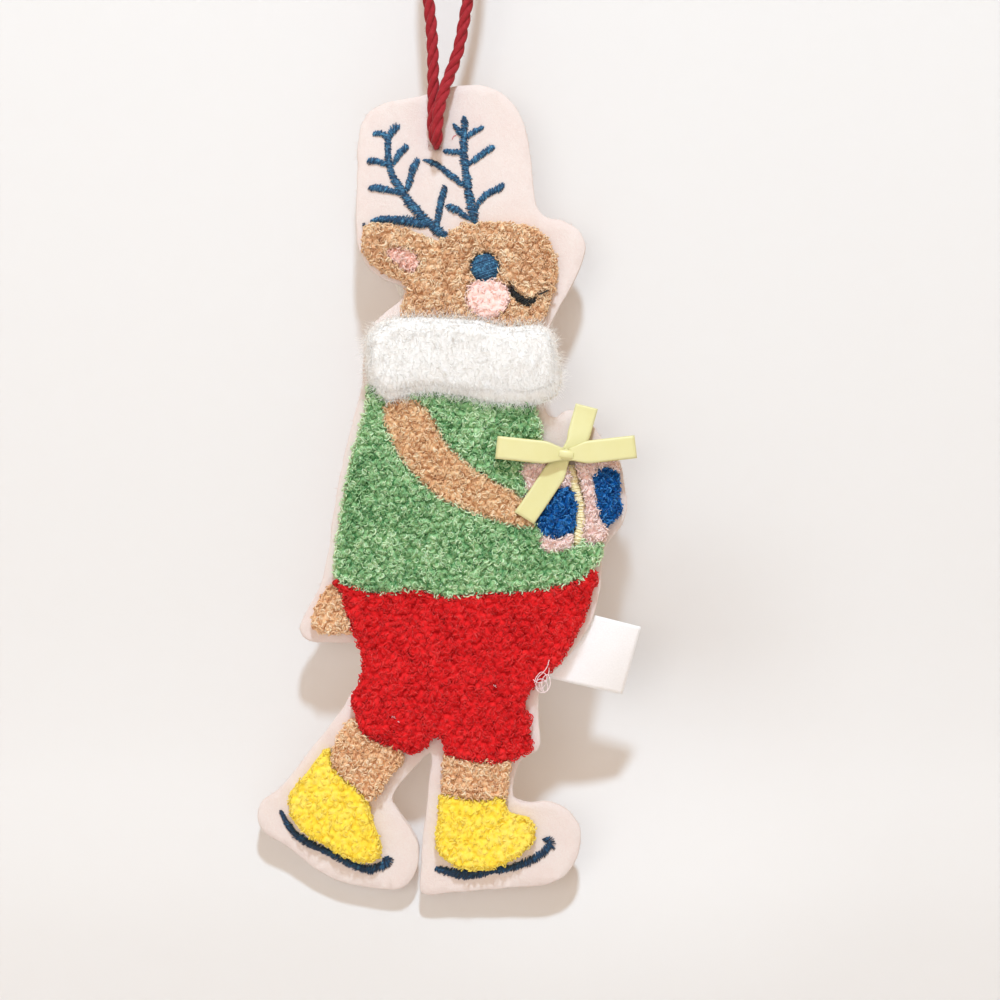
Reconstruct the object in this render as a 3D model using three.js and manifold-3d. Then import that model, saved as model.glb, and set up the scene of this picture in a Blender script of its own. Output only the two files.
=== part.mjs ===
// A flat felt reindeer on skates, a hanging ornament: two felt layers with an embroidery backing between
// them, fields of looped pile and satin stitches on the front, a fur collar, a ribbon bow, a blank seam
// label and a cord loop.
// Millimetres, +Z up, the front faces -Y. The origin is where the top of the cord loop bears on its hook.

import * as THREE from "three";
import { mergeVertices } from "three/addons/utils/BufferGeometryUtils.js";
import Module from "manifold-3d";

const wasm = await Module();
wasm.setup();

// The felt figure.
const figureWidth = 100;
const figureHeight = 218;
const feltThickness = 1.6;
const backingThickness = 0.4;
const glueFilm = 0.05;

// The cord loop, its hole in the front felt and the knot behind it.
const cordDiameter = 3.2;
const cordToFelt = 0.3;
const loopDrop = 75;
const knotNeckRadius = 1.5;
const knotRadius = 3.2;
const knotThickness = 1.4;
const knotRound = 0.4;
const knotClearance = 0.1;
const holeClearance = 0.3;

// Pile, fur and stitches, as heights over the front felt.
const pileHeight = 3.6;
const legPileHeight = 3.2;
const tailPileHeight = 3;
const earPileHeight = 3.3;
const cheekPileHeight = 3.9;
const giftPileHeight = 3.4;
const pileCrown = 1.5;
const pileShoulder = 1.1;
const smallPileCrown = 1;
const smallPileShoulder = 0.6;
const furHeight = 6;
const furCrown = 3.4;
const furShoulder = 2.6;
const stitchHeight = 0.9;
const stitchCrown = 0.5;
const stitchShoulder = 0.35;
const faceStitchHeight = 1.6;
const eyeRadius = 3.8;
const eyeDome = 1.1;
const stemWidth = 2.1;
const branchWidth = 1.7;
const bladeWidth = 2;
const mouthWidth = 2;
const stripeWidth = 2.2;
const fieldGap = 0.3;

// The ribbon bow.
const ribbonWidth = 6;
const ribbonThickness = 0.4;
const loopReach = 18.6;
const loopOpening = 1.2;
const upperTailReach = 15;
const lowerTailReach = 20.3;
const upperTailDrop = 2.6;
const bowKnotRadius = 3.2;
const bowKnotRise = 0.6;
const bowGap = 0.3;

// The seam label, a blank woven tape.
const labelWidth = 19.4;
const labelLength = 25;
const labelThickness = 0.25;
const labelStandoff = 1.3;
const labelHingeGap = 0.3;

// Directions, in degrees.
const leftLoopTilt = 6;
const rightLoopTilt = 7.5;
const upperTailTurn = 68;
const lowerTailTurn = 237;
const labelTurn = 14;

// Fineness of the facets.
const outlineStep = 2.2;
const padStep = 2.4;
const stitchStep = 2;
const crownRings = 2;
const cordSides = 8;
const cordSteps = 64;
const roundSides = 24;
const capSides = 3;
const foldSides = 8;
const tailSteps = 8;

// One overrun serves every cut.
const overrun = 2;

// The tables below are chosen by hand, in thousandths of the figure's width, from its left end, and of its
// height, from its lowest edge.
const wholeShare = 1000;
const hangShare = 535;
const cordHoleShares = [484, 923];

const feltShares = [
  [272, 895], [274, 932], [296, 963], [344, 978], [398, 983], [452, 988], [500, 995], [554, 1000],
  [608, 1000], [656, 991], [696, 975], [723, 950], [737, 919], [745, 885], [753, 854], [780, 837],
  [825, 833], [868, 821], [887, 800], [876, 778], [849, 751], [817, 725], [790, 699], [785, 671],
  [796, 643], [798, 622], [777, 609], [782, 594], [806, 589], [833, 597], [866, 596], [901, 582],
  [933, 562], [968, 548], [984, 530], [992, 502], [1000, 478], [984, 454], [952, 437], [933, 418],
  [930, 392], [922, 366], [903, 336], [868, 309], [823, 284], [780, 264], [763, 247], [761, 212],
  [761, 179], [718, 167], [699, 148], [694, 118], [726, 112], [785, 113], [836, 104], [871, 82],
  [871, 56], [841, 26], [788, 12], [656, 6], [522, 1], [446, 0], [444, 29], [447, 62],
  [457, 100], [465, 140], [470, 174], [427, 156], [387, 136], [366, 117], [390, 97], [419, 78],
  [437, 60], [434, 33], [417, 16], [387, 6], [323, 6], [258, 11], [194, 21], [132, 40],
  [73, 62], [24, 74], [3, 93], [11, 112], [56, 127], [102, 151], [142, 176], [183, 199],
  [228, 226], [253, 246], [280, 262], [290, 282], [272, 308], [212, 310], [140, 313], [116, 326],
  [134, 349], [169, 378], [191, 416], [204, 457], [218, 500], [237, 543], [261, 587], [282, 624],
  [288, 655], [293, 680], [315, 703], [355, 722], [384, 732], [398, 748], [379, 754], [333, 763],
  [296, 779], [274, 798], [269, 823], [269, 860],
];
const backingShares = [
  [300, 880], [320, 950], [420, 965], [560, 980], [680, 960], [710, 880], [720, 830], [840, 800],
  [770, 700], [740, 560], [930, 530], [960, 480], [870, 410], [740, 370], [700, 300], [690, 230], [660, 170],
  [560, 190], [330, 205], [300, 300], [240, 390], [260, 500], [330, 620], [400, 710], [330, 800],
];
const headShares = [
  [285, 810], [296, 825], [360, 825], [435, 816], [495, 806], [538, 823], [605, 829], [672, 828],
  [745, 823], [780, 810], [806, 787], [812, 767], [798, 743], [782, 721], [755, 701], [707, 696],
  [629, 701], [535, 708], [454, 710], [392, 711], [390, 726], [411, 746], [392, 757], [344, 767],
  [304, 782],
];
const innerEarShares = [
  [349, 793], [382, 797], [417, 795], [438, 784], [435, 769], [417, 766], [382, 775],
];
const cheekShares = [
  [565, 737], [581, 754], [621, 760], [664, 754], [683, 737], [664, 717], [621, 710], [581, 717],
];
const eyeShares = [616, 775];
const collarShares = [
  [304, 671], [309, 690], [347, 703], [401, 708], [495, 708], [589, 705], [683, 697], [758, 699],
  [790, 689], [801, 664], [812, 639], [801, 619], [758, 610], [656, 609], [548, 618], [462, 622],
  [398, 619], [360, 612], [328, 624], [309, 644],
];
const sweaterShares = [
  [309, 632], [301, 605], [282, 572], [258, 533], [242, 494], [226, 450], [215, 411], [220, 390],
  [272, 378], [347, 372], [441, 376], [513, 367], [602, 372], [688, 373], [777, 378], [849, 385],
  [898, 398], [925, 418], [930, 433], [884, 440], [817, 444], [750, 458], [669, 478], [575, 498],
  [495, 525], [435, 552], [387, 581], [366, 605], [349, 622],
];
const chestShares = [
  [404, 617], [454, 624], [548, 623], [656, 614], [739, 608], [758, 587], [763, 562], [742, 530],
  [726, 495], [683, 485], [602, 512], [535, 535], [481, 565], [441, 594],
];
const armShares = [
  [344, 594], [360, 607], [398, 612], [433, 608], [468, 594], [505, 561], [540, 543], [586, 527],
  [645, 509], [699, 495], [728, 481], [747, 454], [720, 453], [656, 460], [575, 473], [495, 489],
  [441, 510], [395, 536], [363, 563],
];
const giftUpperShares = [
  [718, 532], [777, 533], [833, 530], [847, 517], [839, 501], [790, 490], [763, 475], [737, 481], [726, 502],
];
const giftLowerShares = [[766, 443], [806, 439], [855, 444], [868, 433], [833, 426], [785, 423], [763, 431]];
const giftRightShares = [
  [849, 533], [925, 535], [970, 535], [976, 522], [952, 517], [917, 510], [925, 493], [925, 473],
  [941, 455], [938, 440], [898, 432], [879, 440], [882, 469], [868, 498], [852, 517],
];
const giftSquareLeftShares = [
  [812, 500], [847, 500], [862, 475], [852, 448], [817, 442], [772, 445], [758, 459], [782, 480],
];
const giftSquareRightShares = [
  [941, 527], [909, 519], [914, 498], [922, 473], [941, 454], [968, 465], [982, 480], [974, 495], [977, 512],
  [965, 524],
];
const trouserShares = [
  [210, 387], [228, 376], [239, 356], [255, 334], [277, 310], [288, 287], [282, 264], [258, 243],
  [269, 221], [290, 199], [347, 186], [414, 176], [452, 180], [478, 195], [500, 194], [511, 175],
  [575, 167], [656, 164], [715, 172], [745, 184], [728, 202], [739, 217], [720, 232], [737, 252],
  [777, 269], [817, 288], [852, 314], [882, 341], [898, 366], [917, 392], [906, 406], [817, 395],
  [656, 386], [495, 383], [333, 388],
];
const tailShares = [
  [199, 381], [220, 378], [253, 354], [274, 326], [215, 323], [161, 325], [151, 339], [167, 359],
];
const leftLegShares = [
  [258, 217], [306, 196], [376, 180], [398, 169], [360, 146], [328, 124], [296, 115], [239, 140],
  [199, 160], [215, 187],
];
const rightLegShares = [
  [513, 177], [602, 171], [683, 169], [677, 146], [669, 119], [602, 115], [508, 119], [503, 146],
];
const leftBootShares = [
  [196, 181], [167, 169], [134, 148], [94, 125], [94, 100], [126, 78], [188, 61], [239, 47],
  [285, 40], [333, 46], [331, 68], [312, 93], [301, 115], [266, 133], [231, 145], [207, 159],
];
const rightBootShares = [
  [497, 124], [554, 119], [616, 117], [664, 120], [680, 102], [739, 93], [750, 73], [715, 51],
  [656, 36], [597, 30], [543, 35], [495, 50], [484, 72], [492, 100],
];

// Stitched lines: the first of each antler is its stem, and the rest are its branches.
const leftAntlerShares = [
  [
    [511, 813], [476, 826], [438, 844], [403, 865], [376, 883], [360, 904], [355, 927], [347, 937],
    [317, 942],
  ],
  [[355, 935], [387, 949]],
  [[371, 904], [406, 926]],
  [[366, 900], [333, 907], [301, 909]],
  [[398, 867], [349, 875], [306, 876]],
  [[405, 870], [417, 892], [433, 908]],
  [[484, 824], [422, 833], [360, 836], [312, 835]],
  [[487, 826], [495, 852], [511, 876]],
];
const rightAntlerShares = [
  [[594, 831], [583, 847], [573, 870], [565, 895], [559, 922], [559, 945], [559, 964]],
  [[554, 935], [532, 954]],
  [[562, 935], [610, 950]],
  [[559, 918], [538, 921], [508, 922]],
  [[563, 902], [597, 914], [634, 927]],
  [[566, 877], [516, 895], [460, 908]],
  [[576, 848], [613, 866], [664, 880]],
  [[587, 835], [554, 846], [524, 852]],
];
const mouthShares = [[685, 751], [699, 738], [726, 732], [758, 737], [785, 744]];
const leftBladeShares = [
  [65, 103], [89, 84], [129, 66], [204, 47], [266, 31], [315, 27], [355, 36], [349, 46],
];
const rightBladeShares = [
  [484, 31], [530, 24], [589, 22], [656, 29], [720, 37], [766, 50], [788, 65], [777, 72],
];
const giftStripeShares = [[851, 527], [866, 500], [874, 475], [870, 450], [862, 434]];
const bowShares = [833, 543];
const labelCornerShares = [1038, 331];
const seamUpperShares = [903, 336];
const seamLowerShares = [823, 284];

// How wide a stitched line's far end is, of its full width.
const stemTipShare = 0.75;
const branchTipShare = 0.9;
const mouthTipShare = 0.5;
const bladeTipShare = 0.8;
const stripeTipShare = 1;

// How high the eye's satin stands at the shoulder of its dome, of the dome's height.
const eyeShoulderShare = 0.67;

// The cord's route, point by point, in millimetres from the hook: from the hole up one leg, over the hook and
// down the other leg.
const cordRoute = [
  [-5.9, 0, -73.0], [-5.9, 0, -69.5], [-5.8, 0, -65.5], [-5.8, 0, -60.5], [-5.8, 0, -56.0], [-5.9, 0, -50.0],
  [-6.3, 0, -43.0], [-7.0, 0, -36.0], [-7.6, 0, -28.0], [-8.0, 0, -20.0], [-7.7, 0, -12.0], [-6.4, 0, -5.0],
  [-3.8, 0, 0.1], [0, 0, 1.6], [3.8, 0, 0.1], [6.4, 0, -5.0], [7.2, 0, -12.0], [6.6, 0, -20.0],
  [5.2, 0, -28.0], [3.7, 0, -34.8], [2.4, 0, -42.0], [1.0, -0.1, -49.0], [-0.6, -0.5, -54.0],
  [-2.2, -1.8, -58.6], [-3.4, -2.9, -62.5], [-4.2, -3.5, -66.5], [-4.6, -3.7, -70.0], [-4.7, -3.7, -73.0],
];

// Colours.
const colours = {
  felt: 0xf9dcd6,
  backing: 0xf4f2ee,
  cord: 0xb5263a,
  tan: 0xc99a66,
  arm: 0xb98558,
  pink: 0xf0b7b2,
  navy: 0x27527f,
  black: 0x1d2230,
  fur: 0xf7f5f0,
  green: 0x67a86c,
  red: 0xcf1f2c,
  yellow: 0xf2dd3a,
  blue: 0x1c5aa6,
  satinYellow: 0xf3e58a,
  ribbon: 0xf4ea8c,
  label: 0xfafaf8,
};
const clothRoughness = 0.95;
const satinRoughness = 0.4;

// Sizes that follow from those above.
const degree = Math.PI / 180;
const cordRadius = cordDiameter / 2;
const feltFront = cordRadius + cordToFelt;
const backingFront = feltThickness + glueFilm;
const backFront = backingFront + backingThickness + glueFilm;
const seamMiddle = (feltThickness + backFront) / 2;
const knotFront = feltThickness + knotClearance;
const pocketDepth = knotFront + knotThickness + knotClearance - backFront;
const figureLeft = (-hangShare / wholeShare) * figureWidth;
const figureBottom = -loopDrop - (cordHoleShares[1] / wholeShare) * figureHeight;

function material(colour, roughness = clothRoughness) {
  return new THREE.MeshStandardMaterial({ color: colour, roughness, metalness: 0 });
}

function piece(name, geometry, colour, roughness) {
  geometry.computeVertexNormals();
  const mesh = new THREE.Mesh(geometry, material(colour, roughness));
  mesh.name = name;
  return mesh;
}

// A point of the figure, across and up from the corner of its box.
function spot([across, up]) {
  return new THREE.Vector2((across * figureWidth) / wholeShare, (up * figureHeight) / wholeShare);
}

// A smooth closed outline through a table of shares, anticlockwise, with a corner about every step.
function outline(shares, step = padStep) {
  const through = shares.map(spot).map((p) => new THREE.Vector3(p.x, p.y, 0));
  const curve = new THREE.CatmullRomCurve3(through, true, "centripetal");
  const count = Math.max(shares.length, Math.round(curve.getLength() / step));
  const points = curve.getSpacedPoints(count).slice(0, -1).map((p) => new THREE.Vector2(p.x, p.y));
  return THREE.ShapeUtils.area(points) < 0 ? points.reverse() : points;
}

// The same outline with every side moved outwards by a distance.
function grown(points, distance) {
  return points.map((point, i) => {
    const before = points[(i + points.length - 1) % points.length];
    const after = points[(i + 1) % points.length];
    const along = after.clone().sub(before).normalize();
    return new THREE.Vector2(point.x + along.y * distance, point.y - along.x * distance);
  });
}

function circle(centre, radius, sides = roundSides) {
  return Array.from({ length: sides }, (_, i) => {
    const turn = (2 * Math.PI * i) / sides;
    return new THREE.Vector2(centre.x + radius * Math.cos(turn), centre.y + radius * Math.sin(turn));
  });
}

// The outline of a stitched line: a strip round a smooth path with round ends, narrowing to its far end.
function strip(shares, width, tipShare) {
  const through = shares.map(spot).map((p) => new THREE.Vector3(p.x, p.y, 0));
  const curve = new THREE.CatmullRomCurve3(through, false, "centripetal");
  const count = Math.max(2, Math.round(curve.getLength() / stitchStep));
  const left = [];
  const right = [];
  for (let i = 0; i <= count; i++) {
    const share = i / count;
    const middle = curve.getPointAt(share);
    const along = curve.getTangentAt(share);
    const half = (width / 2) * (1 - share * (1 - tipShare));
    left.push(new THREE.Vector2(middle.x - along.y * half, middle.y + along.x * half));
    right.push(new THREE.Vector2(middle.x + along.y * half, middle.y - along.x * half));
  }
  return [...right, ...cap(right[count], left[count]), ...left.reverse(), ...cap(left[count], right[0])];
}

// The corners of a half circle that runs anticlockwise from one point to another.
function cap(from, to) {
  const middle = from.clone().add(to).multiplyScalar(0.5);
  const arm = from.clone().sub(middle);
  return Array.from({ length: capSides }, (_, i) => {
    const turn = (Math.PI * (i + 1)) / (capSides + 1);
    return arm.clone().rotateAround(new THREE.Vector2(), turn).add(middle);
  });
}

// A flat piece cut to an outline: its back is at y = 0 and its front at y = -thickness.
function sheet(points, thickness, holes = []) {
  const shape = new THREE.Shape(points);
  shape.holes = holes.map((hole) => new THREE.Path(hole));
  const geometry = new THREE.ExtrudeGeometry(shape, { depth: thickness, bevelEnabled: false });
  return geometry.rotateX(Math.PI / 2);
}

function solid(geometry) {
  const bare = new THREE.BufferGeometry().setAttribute("position", geometry.getAttribute("position"));
  if (geometry.index) bare.setIndex(geometry.index);
  const merged = mergeVertices(bare);
  return new wasm.Manifold(
    new wasm.Mesh({
      numProp: 3,
      vertProperties: new Float32Array(merged.attributes.position.array),
      triVerts: new Uint32Array(merged.index.array),
    }),
  );
}

// The largest body of a solid, as a geometry: crumbs that a cut leaves at a shared corner are trimmed off.
function trimmed(made) {
  const bodies = made.decompose().sort((a, b) => b.volume() - a.volume());
  const mesh = bodies[0].getMesh();
  const geometry = new THREE.BufferGeometry();
  geometry.setAttribute("position", new THREE.BufferAttribute(new Float32Array(mesh.vertProperties), 3));
  geometry.setIndex(new THREE.BufferAttribute(new Uint32Array(mesh.triVerts), 1));
  return geometry.toNonIndexed();
}

// A raised field on the felt: its back is flat at y = 0, and its front rounds over at the edge.
function crowned(points, height, crown, shoulder) {
  const shape = new THREE.Shape(points);
  const raised = new THREE.ExtrudeGeometry(shape, {
    depth: height - crown + overrun,
    bevelThickness: crown,
    bevelSize: shoulder,
    bevelOffset: -shoulder,
    bevelSegments: crownRings,
  });
  raised.translate(0, 0, -overrun).rotateX(Math.PI / 2);
  return solid(raised).subtract(block(points, overrun + crown));
}

// A block behind the felt's face, wider than an outline, that cuts a raised field flat.
function block(points, depth) {
  const box = new THREE.Box2().setFromPoints(points).expandByScalar(overrun);
  const size = box.getSize(new THREE.Vector2());
  const middle = box.getCenter(new THREE.Vector2());
  const geometry = new THREE.BoxGeometry(size.x, depth + overrun, size.y);
  return solid(geometry.translate(middle.x, (depth + overrun) / 2, middle.y));
}

// A field with its neighbours' outlines cut away, each with the gap that fields keep.
function carved(made, neighbours) {
  return neighbours.reduce((left, points) => {
    const cutter = sheet(grown(points, fieldGap), furHeight + 2 * overrun);
    return left.subtract(solid(cutter.translate(0, overrun, 0)));
  }, made);
}

function field(name, points, height, colour, neighbours = [], crown = pileCrown, shoulder = pileShoulder) {
  const mesh = piece(name, trimmed(carved(crowned(points, height, crown, shoulder), neighbours)), colour);
  mesh.position.y = -glueFilm;
  return mesh;
}

function stitches(name, outlines, height, colour, neighbours = []) {
  const strokes = outlines.map((points) => crowned(points, height, stitchCrown, stitchShoulder));
  const joined = strokes.reduce((all, stroke) => all.add(stroke));
  const mesh = piece(name, trimmed(carved(joined, neighbours)), colour, satinRoughness);
  mesh.position.y = -glueFilm;
  return mesh;
}

// The outlines that more than one piece needs.
const outlines = {
  collar: outline(collarShares),
  arm: outline(armShares),
  sweater: outline(sweaterShares),
  trousers: outline(trouserShares),
  cheek: outline(cheekShares),
  innerEar: outline(innerEarShares),
  eye: circle(spot(eyeShares), eyeRadius),
  mouth: strip(mouthShares, mouthWidth, mouthTipShare),
  giftUpper: outline(giftUpperShares),
  giftLower: outline(giftLowerShares),
  giftRight: outline(giftRightShares),
  squareLeft: outline(giftSquareLeftShares),
  squareRight: outline(giftSquareRightShares),
  stripe: strip(giftStripeShares, stripeWidth, stripeTipShare),
  leftBoot: outline(leftBootShares),
  rightBoot: outline(rightBootShares),
  leftBlade: strip(leftBladeShares, bladeWidth, bladeTipShare),
  rightBlade: strip(rightBladeShares, bladeWidth, bladeTipShare),
  bowKnot: circle(spot(bowShares), bowKnotRadius),
};
const [leftAntler, rightAntler] = [leftAntlerShares, rightAntlerShares].map(([stem, ...branches]) => [
  strip(stem, stemWidth, stemTipShare),
  ...branches.map((branch) => strip(branch, branchWidth, branchTipShare)),
]);

// The cord loop: one tube along its route.
function hangerLoop() {
  const through = cordRoute.map((point) => new THREE.Vector3(...point));
  const route = new THREE.CatmullRomCurve3(through, false, "centripetal");
  const section = new THREE.Shape(circle(new THREE.Vector2(), cordRadius, cordSides));
  const tube = new THREE.ExtrudeGeometry(section, { steps: cordSteps, extrudePath: route });
  return piece("hanger_loop", tube, colours.cord);
}

// The knot that holds the cord: a neck through the front felt and a flattened ball between the layers.
function hangerKnot() {
  const back = knotFront + knotThickness;
  const profile = [
    [0, 0],
    [knotNeckRadius, 0],
    [knotNeckRadius, knotFront],
    [knotRadius - knotRound, knotFront],
    [knotRadius, knotFront + knotRound],
    [knotRadius, back - knotRound],
    [knotRadius - knotRound, back],
    [0, back],
  ].map(([radius, depth]) => new THREE.Vector2(radius, depth));
  const mesh = piece("hanger_knot", new THREE.LatheGeometry(profile, roundSides), colours.cord);
  const hole = spot(cordHoleShares);
  mesh.position.set(hole.x, 0, hole.y);
  return mesh;
}

function felts() {
  const edge = outline(feltShares, outlineStep);
  const hole = spot(cordHoleShares);
  const neckHole = circle(hole, knotNeckRadius + holeClearance);
  const knotHole = circle(hole, knotRadius + holeClearance);
  const front = piece("front_felt", sheet(edge, feltThickness, [neckHole]), colours.felt);
  front.position.y = feltThickness;
  const backingSheet = solid(sheet(outline(backingShares), backingThickness, [knotHole]));
  const backing = piece("embroidery_backing", trimmed(carved(backingSheet, [labelTape()])), colours.backing);
  backing.position.y = backingFront + backingThickness;
  const pocket = sheet(knotHole, pocketDepth + overrun);
  pocket.translate(0, pocketDepth - feltThickness, 0);
  const backSolid = solid(sheet(edge, feltThickness)).subtract(solid(pocket));
  const back = piece("back_felt", trimmed(backSolid), colours.felt);
  back.position.y = backFront + feltThickness;
  return [front, backing, back];
}

function eye() {
  const rim = faceStitchHeight - eyeDome;
  const profile = [
    [0, 0],
    [eyeRadius, 0],
    [eyeRadius, rim],
    [eyeRadius - eyeDome, rim + eyeDome * eyeShoulderShare],
    [0, faceStitchHeight],
  ].map(([radius, height]) => new THREE.Vector2(radius, -height));
  const dome = new THREE.LatheGeometry(profile.reverse(), roundSides);
  const mesh = piece("eye_stitch", dome, colours.navy, satinRoughness);
  const centre = spot(eyeShares);
  mesh.position.set(centre.x, -glueFilm, centre.y);
  return mesh;
}

function head() {
  const { collar, innerEar, cheek, mouth } = outlines;
  const eyeEdge = outlines.eye;
  const around = [collar, innerEar, cheek, mouth, eyeEdge, ...leftAntler, ...rightAntler];
  const small = [smallPileCrown, smallPileShoulder];
  return [
    field("head_pile", outline(headShares), pileHeight, colours.tan, around),
    field("inner_ear_pile", innerEar, earPileHeight, colours.pink, [], ...small),
    field("cheek_pile", cheek, cheekPileHeight, colours.pink, [eyeEdge], ...small),
    stitches("mouth_stitch", [mouth], faceStitchHeight, colours.black),
    eye(),
    stitches("antler_left", leftAntler, stitchHeight, colours.navy),
    stitches("antler_right", rightAntler, stitchHeight, colours.navy, leftAntler),
  ];
}

function clothes() {
  const { collar, arm, sweater, trousers, leftBoot, rightBoot, leftBlade, rightBlade } = outlines;
  const { giftUpper, giftLower, giftRight, squareLeft, stripe } = outlines;
  const giftEdges = [giftUpper, giftLower, giftRight, squareLeft, stripe];
  return [
    field("fur_collar", collar, furHeight, colours.fur, [], furCrown, furShoulder),
    field("arm_pile", arm, pileHeight, colours.arm, [collar, ...giftEdges]),
    field("sweater_pile", sweater, pileHeight, colours.green, [collar, arm, ...giftEdges]),
    field("chest_pile", outline(chestShares), pileHeight, colours.green, [collar, arm, ...giftEdges]),
    field("trouser_pile", trousers, pileHeight, colours.red, [sweater]),
    field("tail_pile", outline(tailShares), tailPileHeight, colours.tan, [sweater, trousers]),
    field("left_leg_pile", outline(leftLegShares), legPileHeight, colours.tan, [trousers, leftBoot]),
    field("right_leg_pile", outline(rightLegShares), legPileHeight, colours.tan, [trousers, rightBoot]),
    field("left_boot_pile", leftBoot, pileHeight, colours.yellow, [leftBlade]),
    field("right_boot_pile", rightBoot, pileHeight, colours.yellow, [rightBlade]),
    stitches("left_blade", [leftBlade], stitchHeight, colours.navy),
    stitches("right_blade", [rightBlade], stitchHeight, colours.navy),
  ];
}

function gift() {
  const { giftUpper, giftLower, giftRight, squareLeft, squareRight, stripe, bowKnot } = outlines;
  const { pink, blue } = colours;
  const giftField = (name, points, colour, neighbours) =>
    field(name, points, giftPileHeight, colour, neighbours, smallPileCrown, smallPileShoulder);
  return [
    giftField("gift_pink_upper", giftUpper, pink, [squareLeft, stripe, bowKnot]),
    giftField("gift_pink_lower", giftLower, pink, [squareLeft, stripe]),
    giftField("gift_pink_right", giftRight, pink, [squareRight, stripe, bowKnot]),
    giftField("gift_blue_left", squareLeft, blue, [stripe]),
    giftField("gift_blue_right", squareRight, blue, []),
    stitches("gift_stripe", [stripe], stitchHeight, colours.satinYellow, [bowKnot]),
  ];
}

// Bow heights over the felt: the tails lie on the pile, and the loops lie on the tails.
const tailLevel = pileHeight + bowGap;
const loopLevel = tailLevel + ribbonThickness + bowGap;
const loopTop = loopLevel + loopOpening + 2 * ribbonThickness;
const ribbonStart = bowKnotRadius + bowGap;

// A doubled ribbon from the knot to its fold, drawn to the right of the knot.
function bowLoop(name, turn) {
  const foldRadius = (loopTop - loopLevel) / 2;
  const straight = loopReach - foldRadius;
  const middle = loopLevel + foldRadius;
  const shape = new THREE.Shape();
  shape.moveTo(ribbonStart, -loopLevel);
  shape.lineTo(ribbonStart, -loopLevel - ribbonThickness);
  shape.lineTo(straight, -loopLevel - ribbonThickness);
  shape.absarc(straight, -middle, foldRadius - ribbonThickness, Math.PI / 2, -Math.PI / 2, true);
  shape.lineTo(ribbonStart, -loopTop + ribbonThickness);
  shape.lineTo(ribbonStart, -loopTop);
  shape.lineTo(straight, -loopTop);
  shape.absarc(straight, -middle, foldRadius, -Math.PI / 2, Math.PI / 2, false);
  const across = { depth: ribbonWidth, bevelEnabled: false, curveSegments: foldSides };
  const band = new THREE.ExtrudeGeometry(shape, across);
  const mesh = piece(name, band.translate(0, 0, -ribbonWidth / 2), colours.ribbon, satinRoughness);
  mesh.rotation.y = -turn;
  return mesh;
}

// A single ribbon end that leaves the knot and may sink towards the felt, drawn to the right of the knot.
function bowTail(name, turn, reach, drop) {
  const lower = [];
  for (let i = 0; i <= tailSteps; i++) {
    const share = i / tailSteps;
    const fall = drop * share * share * (3 - 2 * share);
    lower.push(new THREE.Vector2(ribbonStart + (reach - ribbonStart) * share, -tailLevel + fall));
  }
  const upper = lower.map((p) => new THREE.Vector2(p.x, p.y - ribbonThickness)).reverse();
  const shape = new THREE.Shape([...lower, ...upper]);
  const band = new THREE.ExtrudeGeometry(shape, { depth: ribbonWidth, bevelEnabled: false });
  const mesh = piece(name, band.translate(0, 0, -ribbonWidth / 2), colours.ribbon, satinRoughness);
  mesh.rotation.y = -turn;
  return mesh;
}

function bowKnot() {
  const top = loopTop + bowKnotRise;
  const profile = [
    [0, glueFilm],
    [bowKnotRadius, glueFilm],
    [bowKnotRadius, loopTop],
    [bowKnotRadius - bowKnotRise, top],
    [0, top],
  ].map(([radius, height]) => new THREE.Vector2(radius, -height));
  const drum = new THREE.LatheGeometry(profile.reverse(), roundSides);
  return piece("bow_knot", drum, colours.ribbon, satinRoughness);
}

function bow() {
  const group = new THREE.Group();
  const centre = spot(bowShares);
  group.position.set(centre.x, 0, centre.y);
  group.add(
    bowKnot(),
    bowLoop("bow_loop_right", rightLoopTilt * degree),
    bowLoop("bow_loop_left", Math.PI - leftLoopTilt * degree),
    bowTail("bow_tail_upper", upperTailTurn * degree, upperTailReach, upperTailDrop),
    bowTail("bow_tail_lower", lowerTailTurn * degree, lowerTailReach, 0),
  );
  return group;
}

// The part of an outline on the far side of a line, as seen along its normal.
function beyond(points, from, normal, distance) {
  const height = (p) => p.clone().sub(from).dot(normal) - distance;
  const kept = [];
  points.forEach((point, i) => {
    const next = points[(i + 1) % points.length];
    const [here, there] = [height(point), height(next)];
    if (here >= 0) kept.push(point);
    if (here * there < 0) kept.push(point.clone().lerp(next, here / (here - there)));
  });
  return kept;
}

function far(point, direction, length) {
  return point.clone().addScaledVector(direction, length);
}

// The label's whole tape, from its free corner round to the part that the seam holds.
function labelTape() {
  const corner = spot(labelCornerShares);
  const inward = new THREE.Vector2(-1, 0).rotateAround(new THREE.Vector2(), -labelTurn * degree);
  const down = inward.clone().rotateAround(new THREE.Vector2(), Math.PI / 2);
  const held = far(corner, inward, labelLength);
  return [corner, held, far(held, down, labelWidth), far(corner, down, labelWidth)];
}

// The label: a tab held in the seam, and a flap that folds along a line just outside the felt's edge.
function label() {
  const tape = labelTape();
  const upper = spot(seamUpperShares);
  const along = spot(seamLowerShares).sub(upper).normalize();
  const outward = along.clone().rotateAround(new THREE.Vector2(), Math.PI / 2);
  const fold = far(upper, outward, labelStandoff);
  const half = labelHingeGap / 2;
  const parts = { label_tab: outward.clone().negate(), label_flap: outward };
  return Object.entries(parts).map(([name, normal]) => {
    const mesh = piece(name, sheet(beyond(tape, fold, normal, half), labelThickness), colours.label);
    mesh.position.y = seamMiddle + labelThickness / 2;
    return mesh;
  });
}

const figure = new THREE.Group();
figure.position.set(figureLeft, feltFront, figureBottom);
figure.add(...felts(), hangerKnot(), ...head(), ...clothes(), ...gift(), bow(), ...label());

const ornament = new THREE.Group();
ornament.add(hangerLoop(), figure);

export default ornament;
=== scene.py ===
import math

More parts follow.
